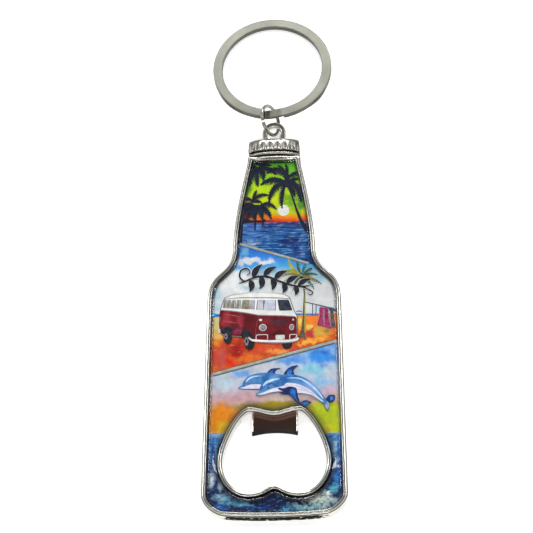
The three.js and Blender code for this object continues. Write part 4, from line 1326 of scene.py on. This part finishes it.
# a plain rounded camper, three quarters on, with a straight two-tone line
camper = {
    "shell": [(-13.3, -3.4), (-14.0, -1.2), (-14.0, 1.4), (-13.7, 3.8), (-12.9, 6.2), (-12.2, 6.9), (-9.6, 7.6),
              (-5.6, 7.9),
              (-1.4, 7.8), (1.8, 7.3), (3.7, 6.5), (4.3, 5.0), (5.1, 2.6), (5.8, 1.0), (5.9, -1.6), (5.7, -4.4),
              (4.4, -5.2),
              (0.6, -5.3), (-3.6, -5.2), (-6.0, -4.6), (-9.4, -4.0)],
    "lower": [(-13.3, -3.3), (-14.0, -1.2), (-13.95, 1.2), (-13.75, 3.3), (-11.0, 3.0), (-8.0, 2.5),
              (-5.2, 1.9), (-3.8, 1.6),
              (-1.0, 1.5), (2.4, 1.3), (5.5, 1.0), (5.8, -1.4), (5.7, -4.2), (4.4, -5.1), (0.6, -5.2),
              (-3.6, -5.1), (-6.0, -4.5),
              (-9.4, -3.9)],
    "gutter": ([(-12.8, 6.35), (-9.0, 6.6), (-4.0, 6.5), (0.6, 6.3), (4.0, 5.95)], [0.14, 0.2, 0.22, 0.24, 0.16]),
    "roofLine": ([(-12.3, 6.9), (-9.6, 7.65), (-5.6, 7.98), (-1.4, 7.88), (1.8, 7.38), (3.8, 6.5)],
                 [0.08, 0.1, 0.12, 0.12, 0.12, 0.08]),
    "belt": ([(-13.7, 3.35), (-11.0, 3.05), (-8.0, 2.55), (-5.2, 1.95), (-3.8, 1.65), (-1.0, 1.52), (2.4, 1.32),
              (5.4, 1.05)],
             [0.16, 0.22, 0.24, 0.24, 0.22, 0.24, 0.24, 0.16]),
    "crease": ([(-14.0, -1.0), (-11.4, -1.3), (-8.6, -1.9), (-6.6, -2.5)], [0.1, 0.16, 0.16, 0.08]),
    "frontEdge": ([(-3.9, 1.6), (-4.5, -0.8), (-4.8, -3.0), (-4.7, -4.6)], [0.08, 0.12, 0.12, 0.1]),
    # corners of each window: left, right, and how far up the side band it reaches
    "sideWindows": [(-12.95, -12.25), (-11.95, -11.2), (-10.85, -10.0), (-9.6, -8.7), (-8.2, -5.1)],
    "frontWindows": [(-4.3, -2.75), (-2.55, 0.35)],
    "darkWindow": [(0.85, 5.85), (3.75, 5.7), (4.15, 4.6), (4.75, 2.75), (1.3, 2.75)],
    "headLamps": [(-2.9, -1.75, 0.98, 0.95), (4.5, -1.8, 0.62, 0.82)],
    "turnLamps": [(-3.5, 0.35, 0.42, 0.3), (4.9, 0.2, 0.26, 0.26)],
    "vents": [([(-0.9, 0.2), (1.2, 0.15), (3.1, 0.05)], 0.16), ([(-0.9, -0.4), (1.2, -0.45), (3.1, -0.55)], 0.16),
              ([(-0.9, -1.0), (1.2, -1.05), (3.1, -1.15)], 0.16)],
    "bumper": ([(-6.6, -4.3), (-5.8, -5.0), (-4.4, -5.3), (-0.6, -5.55), (3.4, -5.6), (5.7, -5.3), (6.2, -4.8)],
               [0.3, 0.5, 0.62, 0.62, 0.62, 0.55, 0.3]),
    "bumperShade": ([(-5.4, -5.35), (-0.6, -5.95), (3.4, -6.0), (5.9, -5.65)], [0.2, 0.3, 0.3, 0.2]),
    "overriders": [[(-4.6, -5.0), (-4.6, -4.0), (-4.2, -3.7), (-2.0, -3.7), (-1.7, -4.0), (-1.7, -5.0)],
                   [(4.0, -5.0), (4.0, -4.1), (4.3, -3.85), (5.5, -3.85), (5.8, -4.1), (5.8, -5.0)]],
    "plate": [(0.4, -5.2), (0.35, -4.0), (0.6, -3.85), (2.5, -3.85), (2.7, -4.0), (2.7, -5.2)],
    "wheels": [((-11.9, -4.2, 1.1, 1.75), (-12.4, -3.9, 0.42, 0.8)),
               ((-6.3, -5.6, 1.35, 2.1), (-7.1, -5.4, 0.5, 1.15)),
               ((3.3, -6.4, 1.3, 1.35), None)],
    "arches": [(-12.1, -2.4, 1.5, 1.1), (-7.3, -3.4, 1.25, 1.3)],
    "rearLamp": (-14.0, -2.3, 0.45, 0.55),
    "shine": [([(-13.2, 2.2), (-11.0, 1.9), (-9.0, 1.4)], [0.1, 0.35, 0.1]),
              ([(-13.3, 0.4), (-11.6, 0.1), (-9.4, -0.4)], [0.1, 0.5, 0.1])],
}


def bandWindow(left, right, lean=0.28):
    low, high = (lambda x: 3.95 - 0.085 * (x + 13)), (lambda x: 6.15 - 0.028 * (x + 13))
    return [(left + lean * 0.4, high(left)), (right + lean * 0.2, high(right)),
            (right - lean * 0.1, low(right)), (left - lean, low(left))]


def roundedRing(points, radius=0.14, steps=3):
    ring, count = [], len(points)
    for i in range(count):
        before, here, after = (Vector(points[(i + k) % count]) for k in (-1, 0, 1))
        a = here + (before - here).normalized() * radius
        b = here + (after - here).normalized() * radius
        ring += interpolate_bezier(a, a.lerp(here, 0.6), b.lerp(here, 0.6), b, steps + 1)
    return ring


def makeCamper():
    c = camper
    bm = bmesh.new()
    for tyre, hub in c["wheels"]:
        addShape(bm, ellipseRing(*tyre), 0.10, 3, 0.1)
        if hub:
            addShape(bm, ellipseRing(*hub), 0.22, 4)
    addShape(bm, shrunk(smoothRing(c["shell"], 4), 0.18), 0.12, 8)
    addShape(bm, smoothRing(c["shell"], 4), 0.16, 0, 0.12)
    addShape(bm, smoothRing(c["lower"], 4), 0.30, 1)
    for arch in c["arches"]:
        addShape(bm, ellipseRing(*arch), 0.305, 3)
    for tyre, hub in c["wheels"][:2]:
        addShape(bm, ellipseRing(*tyre), 0.31, 3)
        addShape(bm, ellipseRing(*hub), 0.33, 4)
        addShape(bm, ellipseRing(hub[0], hub[1], hub[2] * 0.5, hub[3] * 0.5), 0.35, 3)
    for path, widths in c["shine"]:
        addShape(bm, ribbonRing(path, widths), 0.31, 7)
    for left, right in c["sideWindows"]:
        addShape(bm, roundedRing(bandWindow(left - 0.09, right + 0.09), 0.18), 0.29, 8)
        addShape(bm, roundedRing(bandWindow(left, right)), 0.30, 5)
        addShape(bm, roundedRing(bandWindow(left + 0.12, left + (right - left) * 0.55), 0.08), 0.31, 9)
    for left, right in c["frontWindows"]:
        addShape(bm, roundedRing(bandWindow(left - 0.1, right + 0.1), 0.25), 0.30, 3)
        addShape(bm, roundedRing(bandWindow(left + 0.06, right - 0.06), 0.2), 0.315, 6)
    addShape(bm, roundedRing(c["darkWindow"], 0.3), 0.31, 8)
    for key, slot in (("gutter", 4), ("roofLine", 2), ("belt", 4), ("crease", 8), ("frontEdge", 7),
                      ("bumperShade", 4)):
        addShape(bm, ribbonRing(*c[key]), 0.33, slot)
    for x, y, rx, ry in c["headLamps"]:
        addShape(bm, ellipseRing(x, y, rx, ry), 0.34, 2)
        addShape(bm, ellipseRing(x, y, rx * 0.78, ry * 0.78), 0.38, 4, 0.2)
        addShape(bm, ellipseRing(x - rx * 0.2, y + ry * 0.25, rx * 0.3, ry * 0.25), 0.50, 0)
    for lamp in c["turnLamps"]:
        addShape(bm, ellipseRing(*lamp), 0.36, 2)
    for path, width in c["vents"]:
        addShape(bm, ribbonRing(path, [width] * 3), 0.33, 8)
    for ring in c["overriders"]:
        addShape(bm, ribbonRing(ring, [0.2] * len(ring)), 0.34, 2)
    addShape(bm, ribbonRing(*c["bumper"]), 0.36, 0, 0.1)
    addShape(bm, roundedRing(c["plate"], 0.2), 0.47, 2)
    addShape(bm, ellipseRing(*c["rearLamp"]), 0.3, 2)
    inks = [
        inkMaterial("camperWhite", (0.70, 0.70, 0.68), (0.84, 0.84, 0.82), 300.0, 0.08, 0.3),
        inkMaterial("camperRed", (0.10, 0.008, 0.012), (0.17, 0.014, 0.022), 500.0, 0.3, 0.3, glints=[
            ((-12.2, 0.4), (1.7, 3.4), (0.34, 0.03, 0.04), 0.7, 0.5, 500.0),
            ((-9.0, 0.0), (1.2, 3.4), (0.30, 0.03, 0.05), 0.8, 0.6, 500.0),
            ((-6.6, 0.0), (1.4, 3.6), (0.10, 0.008, 0.010), 0.8, 0.5, 500.0),
            ((-2.2, -0.2), (1.8, 1.4), (0.24, 0.02, 0.03), 0.8, 0.6, 500.0),
            ((0.6, -3.6), (2.4, 1.2), (0.07, 0.006, 0.008), 0.8, 0.5, 500.0),
            ((-9.4, -2.8), (2.4, 0.8), (0.26, 0.03, 0.08), 0.7, 0.6, 700.0)]),
        inkMaterial("camperChrome", (0.56, 0.56, 0.56), (0.72, 0.72, 0.70), 1400.0, 0.2, 0.2),
        inkMaterial("camperTyre", (0.010, 0.012, 0.015), (0.03, 0.034, 0.04), 1200.0, 0.4, 0.5),
        inkMaterial("camperTrim", (0.16, 0.15, 0.17), (0.30, 0.29, 0.32), 1400.0, 0.3, 0.3),
        inkMaterial("sideGlass", (0.30, 0.30, 0.34), (0.46, 0.46, 0.52), 900.0, 0.3, 0.25),
        inkMaterial("frontGlass", (0.44, 0.44, 0.54), (0.56, 0.56, 0.64), 600.0, 0.2, 0.25),
        inkMaterial("redShine", (0.30, 0.04, 0.05), (0.40, 0.08, 0.09), 900.0, 0.3, 0.3),
        inkMaterial("darkGlass", (0.018, 0.022, 0.035), (0.05, 0.06, 0.09), 700.0, 0.3, 0.2),
        inkMaterial("blindBrown", (0.16, 0.14, 0.08), (0.30, 0.27, 0.16), 1600.0, 0.4, 0.4),
    ]
    return finishMesh(bm, "printedCamper", inks, "bottle")


# two dolphins leaping to the left, in relief
dolphins = {
    "rear": {
        "body": [(-8.9, -17.9), (-8.5, -17.5), (-7.9, -17.2), (-7.8, -16.6), (-7.3, -15.7), (-6.3, -14.9),
                 (-4.6, -14.3), (-2.2, -14.15),
                 (0.2, -14.4), (2.6, -15.2), (3.4, -16.6), (1.0, -17.6), (-1.6, -18.2), (-4.0, -18.3),
                 (-6.6, -18.2)],
        "belly": [(-8.6, -17.95), (-7.4, -17.6), (-6.4, -17.1), (-4.8, -17.0), (-3.0, -17.2), (-1.8, -17.8),
                  (-3.2, -18.2), (-6.4, -18.15)],
        "fin": [(-1.9, -14.2), (-1.2, -13.2), (-0.2, -12.8), (1.6, -12.9), (0.6, -13.3), (0.2, -13.9),
                (0.3, -14.5), (-0.8, -14.4)],
        "finLight": [(-1.2, -14.1), (-0.8, -13.5), (-0.3, -13.5), (-0.5, -14.1)],
        "fluke": [(6.2, -22.2), (7.0, -21.8), (8.1, -21.5), (9.4, -22.2), (8.5, -22.6), (7.9, -23.3),
                  (7.2, -22.7)],
        "flukeLight": [(7.2, -22.3), (8.2, -21.9), (8.9, -22.2), (7.9, -22.7)],
        "eye": (-6.4, -16.9, 0.16, 0.14),
        "shine": ([(-7.2, -16.4), (-6.5, -15.5), (-5.0, -14.9), (-3.2, -14.8)], [0.1, 0.5, 0.35, 0.08]),
    },
    "front": {
        "body": [(-4.5, -19.7), (-4.1, -19.3), (-3.5, -18.9), (-3.5, -18.1), (-3.0, -17.1), (-2.0, -16.1),
                 (-0.2, -15.3), (2.4, -14.8),
                 (5.0, -14.9), (7.4, -15.7), (9.6, -17.2), (11.2, -19.0), (12.5, -21.0), (13.2, -22.2),
                 (12.6, -22.6), (11.4, -21.6),
                 (9.8, -20.3), (7.8, -19.7), (5.4, -19.6), (3.0, -19.3), (0.8, -19.0), (-1.4, -19.3),
                 (-3.2, -19.8)],
        "belly": [(-4.2, -19.75), (-2.6, -19.2), (-0.8, -18.4), (0.8, -18.0), (2.4, -17.6), (3.2, -16.9),
                  (5.4, -17.1), (7.4, -17.9),
                  (9.2, -19.0), (11.2, -20.9), (12.6, -22.2), (11.2, -21.5), (9.6, -20.35), (7.6, -19.8),
                  (5.2, -19.6), (2.8, -19.2),
                  (0.6, -19.1), (-1.6, -19.5), (-3.2, -19.9)],
        "fin": [(2.4, -14.7), (3.1, -13.4), (4.3, -12.5), (6.1, -12.2), (5.2, -12.9), (4.9, -13.7),
                (5.1, -14.8), (3.8, -14.7)],
        "finLight": [(3.2, -14.5), (3.7, -13.4), (4.4, -13.2), (4.3, -14.4)],
        "fluke": [(12.2, -21.4), (13.2, -21.1), (13.8, -20.4), (15.2, -20.4), (15.3, -21.4), (14.6, -22.2),
                  (14.0, -22.4), (13.8, -23.6),
                  (13.4, -24.5), (12.9, -23.8), (12.5, -22.6)],
        "flukeLight": [(14.2, -20.8), (15.0, -20.9), (14.9, -21.6), (14.2, -21.8)],
        "flukePale": [(12.6, -22.0), (13.4, -22.0), (13.9, -22.8), (13.4, -24.3), (12.9, -23.6)],
        "flipper": [(1.0, -18.1), (2.4, -18.3), (3.8, -17.9), (5.4, -18.2), (5.8, -19.0), (6.0, -20.6),
                    (6.6, -22.4), (5.6, -21.9), (4.4, -20.6),
                    (3.6, -19.9), (2.4, -19.9), (1.2, -19.2), (2.2, -19.1), (1.2, -18.6)],
        "flipperLight": [(4.2, -18.6), (5.3, -18.8), (5.4, -20.2), (5.9, -21.8), (4.9, -20.8), (4.0, -19.7)],
        "eye": (-1.6, -18.0, 0.2, 0.17),
        "shine": ([(-2.9, -17.6), (-2.0, -16.7), (-0.4, -16.0), (1.4, -15.7)], [0.15, 0.7, 0.55, 0.1]),
        "sideLine": ([(3.2, -15.6), (6.4, -15.8), (9.0, -17.4), (11.0, -19.4), (12.4, -21.4)],
                     [0.1, 0.4, 0.5, 0.45, 0.2]),
        "folds": [([(4.2, -17.4), (6.6, -18.0), (8.6, -19.2), (10.0, -20.2)], [0.06, 0.14, 0.16, 0.06]),
                  ([(5.6, -18.6), (7.2, -18.9), (8.8, -19.7)], [0.06, 0.12, 0.06])],
    },
}


def makeDolphins():
    bm = bmesh.new()
    for number, part in enumerate((dolphins["rear"], dolphins["front"])):
        lift = 0.12 + 0.22 * number
        outline = [p + (p - Vector((0, -17.5))).normalized() * 0.05 for p in smoothRing(part["body"], 4)]
        for key in ("fluke", "fin"):
            addShape(bm, smoothRing(part[key], 4), lift, 1, 0.08)
        addShape(bm, outline, lift + 0.02, 1)
        addShape(bm, shrunk(outline, 0.16), lift + 0.06, 0, 0.1)
        addShape(bm, smoothRing(part["belly"], 4), lift + 0.17, 2)
        for key, slot in (("finLight", 3), ("flukeLight", 3), ("flukePale", 4)):
            if key in part:
                addShape(bm, smoothRing(part[key], 4), lift + 0.12, slot)
        for path, widths in [part["shine"]] + ([part["sideLine"]] if "sideLine" in part else []):
            addShape(bm, ribbonRing(path, widths), lift + 0.19, 5)
        for path, widths in part.get("folds", []):
            addShape(bm, ribbonRing(path, widths), lift + 0.2, 4)
        if "flipper" in part:
            addShape(bm, smoothRing(part["flipper"], 4), lift + 0.26, 1, 0.08)
            addShape(bm, smoothRing(part["flipperLight"], 4), lift + 0.36, 3)
        addShape(bm, ellipseRing(*part["eye"], 14), lift + 0.24, 1)
    inks = [
        inkMaterial("dolphinBlue", (0.025, 0.12, 0.36), (0.11, 0.29, 0.55), 420.0, 0.2, 0.25, glints=[
            ((-3.4, -17.9), (1.0, 1.6), (0.03, 0.12, 0.40), 0.8, 0.4, 600.0),
            ((-7.6, -16.6), (0.8, 1.2), (0.03, 0.12, 0.40), 0.8, 0.4, 600.0),
            ((-0.6, -17.4), (1.8, 0.6), (0.02, 0.08, 0.32), 0.8, 0.6, 800.0),
            ((9.6, -18.0), (3.6, 3.0), (0.20, 0.32, 0.62), 0.8, 0.3, 500.0)]),
        inkMaterial("dolphinNavy", (0.010, 0.022, 0.09), (0.02, 0.05, 0.20), 700.0, 0.3, 0.25),
        inkMaterial("dolphinBelly", (0.62, 0.58, 0.68), (0.80, 0.78, 0.84), 500.0, 0.15, 0.3),
        inkMaterial("dolphinBright", (0.015, 0.08, 0.36), (0.04, 0.20, 0.60), 800.0, 0.3, 0.25),
        inkMaterial("dolphinGrey", (0.24, 0.32, 0.52), (0.36, 0.44, 0.62), 800.0, 0.2, 0.3),
        inkMaterial("dolphinShine", (0.30, 0.52, 0.76), (0.60, 0.76, 0.88), 600.0, 0.2, 0.2),
    ]
    return finishMesh(bm, "dolphinRelief", inks, "bottle")


# clear resin dome over the picture

resin = {
    "bottomZ": 2.95,
    # inset and height over the rounded shoulder, beside the rail and around the opening; both end level
    "railShoulder": [
        (1.21, 3.78), (1.22, 3.90), (1.26, 4.01), (1.32, 4.10), (1.40, 4.18), (1.50, 4.245), (1.60, 4.29),
        (1.72, 4.325),
        (1.86, 4.343), (2.0, 4.35),
    ],
    "holeShoulder": [
        (1.21, 3.62), (1.22, 3.74), (1.28, 3.85), (1.38, 3.95), (1.50, 4.03), (1.64, 4.095), (1.80, 4.145),
        (2.00, 4.205),
        (2.20, 4.262), (2.40, 4.310), (2.55, 4.335), (2.70, 4.35),
    ],
}


def resinMaterial():
    material, tree, shader, place = newMaterial("clearResin")
    slow = addNoise(tree, place, 90.0, 2)
    rough = addRange(tree, addNoise(tree, place, 700.0, 3), 0.3, 0.7, 0.015, 0.045)
    tree.links.new(addRamp(tree, slow, [(0.3, (0.985, 0.995, 0.99)), (0.7, (1.0, 1.0, 1.0))]),
                   shader.inputs["Base Color"])
    tree.links.new(rough, shader.inputs["Roughness"])
    shader.inputs["Transmission Weight"].default_value = 1.0
    shader.inputs["IOR"].default_value = 1.5
    addBump(tree, shader, slow, 0.12, 0.0001)
    clear = addNode(tree, "ShaderNodeBsdfTransparent", {"Color": (0.97, 0.98, 0.98, 1)})
    blend = addNode(tree, "ShaderNodeMixShader",
                    {0: addNode(tree, "ShaderNodeLightPath").outputs["Is Shadow Ray"]})
    tree.links.new(shader.outputs[0], blend.inputs[1])
    tree.links.new(clear.outputs[0], blend.inputs[2])
    tree.links.new(blend.outputs[0], tree.nodes["Material Output"].inputs["Surface"])
    return material


def makeDome():
    outline = bottleOutline()
    bm = bmesh.new()
    rings = []
    for shoulder, outlineOf in (("railShoulder", lambda inset: shrunk(outline, inset)),
                                ("holeShoulder", holeOutline)):
        foot = (resin[shoulder][0][0], resin["bottomZ"])
        loops = [addLoop(bm, outlineOf(inset), z) for inset, z in [foot] + resin[shoulder]]
        bridgeLoops(bm, loops)
        rings.append(loops)
    for end in (0, -1):
        fillRegion(bm, rings[0][end], rings[1][end])
    return finishMesh(bm, "clearDome", [resinMaterial()], "bottle", ["clear_dome"], 60)


makeSilhouettes()
makeBeachPalm()
makeBeachHut()
makeBars()
makeSprig()
makeCamper()
makeDolphins()
print("raised art laid")
makeDome()
print("resin poured")


# floor, light and world

studio = {
    "floorZ": -0.03, "floorSize": 4000, "floorGlow": 0.47,
    # a dark patch of ceiling that the flat faces mirror, as cosines of its half angle: full and gone
    "patch": (0.972, 0.915), "patchShade": 0.16,
}


def makeFloor():
    bm = bmesh.new()
    bmesh.ops.create_grid(bm, x_segments=8, y_segments=8, size=studio["floorSize"] / 2)
    bmesh.ops.transform(bm, matrix=Matrix.Scale(mm, 4) @ Matrix.Translation((0, 0, studio["floorZ"])),
                        verts=bm.verts)
    mesh = bpy.data.meshes.new("floor")
    bm.to_mesh(mesh)
    bm.free()
    material, tree, shader, place = newMaterial("paleFloor")
    cloud = addNoise(tree, place, 3.0, 2)
    tree.links.new(addRamp(tree, cloud, [(0.3, (0.90, 0.90, 0.90)), (0.7, (0.93, 0.93, 0.93))]),
                   shader.inputs["Base Color"])
    shader.inputs["Roughness"].default_value = 0.8
    shader.inputs["Emission Color"].default_value = (1.0, 1.0, 1.0, 1.0)
    shader.inputs["Emission Strength"].default_value = studio["floorGlow"]
    mesh.materials.append(material)
    floor = bpy.data.objects.new("floor", mesh)
    scene.collection.objects.link(floor)


# place and aim in millimetres, size, brightness
lamps = {
    "leftStrip": {"at": (-580, 330, 720), "aim": (0, -10, 0), "size": (80, 520), "power": 1.3},
    "rightStrip": {"at": (460, 330, 810), "aim": (0, -10, 0), "size": (80, 520), "power": 1.3},
    "headStrip": {"at": (0, 700, 500), "aim": (0, -10, 0), "size": (560, 200), "power": 3.6},
    "footStrip": {"at": (0, -700, 520), "aim": (0, 10, 0), "size": (620, 90), "power": 0.8},
}


def addLamp(name, lamp):
    light = bpy.data.lights.new(name, "AREA")
    light.shape = "RECTANGLE"
    light.size, light.size_y = (side * mm for side in lamp["size"])
    light.energy = lamp["power"]
    thing = bpy.data.objects.new(name, light)
    at, aim = Vector(lamp["at"]) * mm, Vector(lamp["aim"]) * mm
    thing.matrix_world = Matrix.Translation(at) @ (at - aim).to_track_quat("Z", "Y").to_matrix().to_4x4()
    scene.collection.objects.link(thing)


def makeWorld():
    world = bpy.data.worlds.new("studio")
    scene.world = world
    world.use_nodes = True
    tree = world.node_tree
    back = tree.nodes["Background"]
    place = addNode(tree, "ShaderNodeTexCoord").outputs["Generated"]
    up = addNode(tree, "ShaderNodeSeparateXYZ", {0: place}).outputs["Z"]
    sky = addRamp(tree, up, [(0.0, (0.6, 0.6, 0.6)), (0.14, (0.6, 0.6, 0.6)), (0.2, (0.08, 0.08, 0.08)),
                             (0.32, (0.08, 0.08, 0.08)),
                             (0.44, (0.85, 0.85, 0.85)), (0.7, (0.72, 0.72, 0.72)), (1.0, (0.72, 0.72, 0.72))])
    mirrored = scene.camera.matrix_world.to_3x3() @ Vector((0, 0, 1))
    toPatch = addNode(tree, "ShaderNodeVectorMath", {0: place, 1: (-mirrored.x, -mirrored.y, mirrored.z)},
                      operation="DOT_PRODUCT")
    full, gone = studio["patch"]
    inPatch = addRange(tree, toPatch.outputs["Value"], gone, full, easing="SMOOTHSTEP")
    sky = addMix(tree, inPatch, sky, (studio["patchShade"],) * 3)
    tree.links.new(sky, back.inputs["Color"])
    seen = addNode(tree, "ShaderNodeBackground", {"Color": (1.0, 1.0, 1.0, 1.0), "Strength": 1.0})
    blend = addNode(tree, "ShaderNodeMixShader",
                    {0: addNode(tree, "ShaderNodeLightPath").outputs["Is Camera Ray"]})
    tree.links.new(back.outputs[0], blend.inputs[1])
    tree.links.new(seen.outputs[0], blend.inputs[2])
    tree.links.new(blend.outputs[0], tree.nodes["World Output"].inputs["Surface"])


makeFloor()
for lampName, lampValues in lamps.items():
    addLamp(lampName, lampValues)
makeWorld()
scene.view_settings.view_transform = "Standard"
print("stage lit")
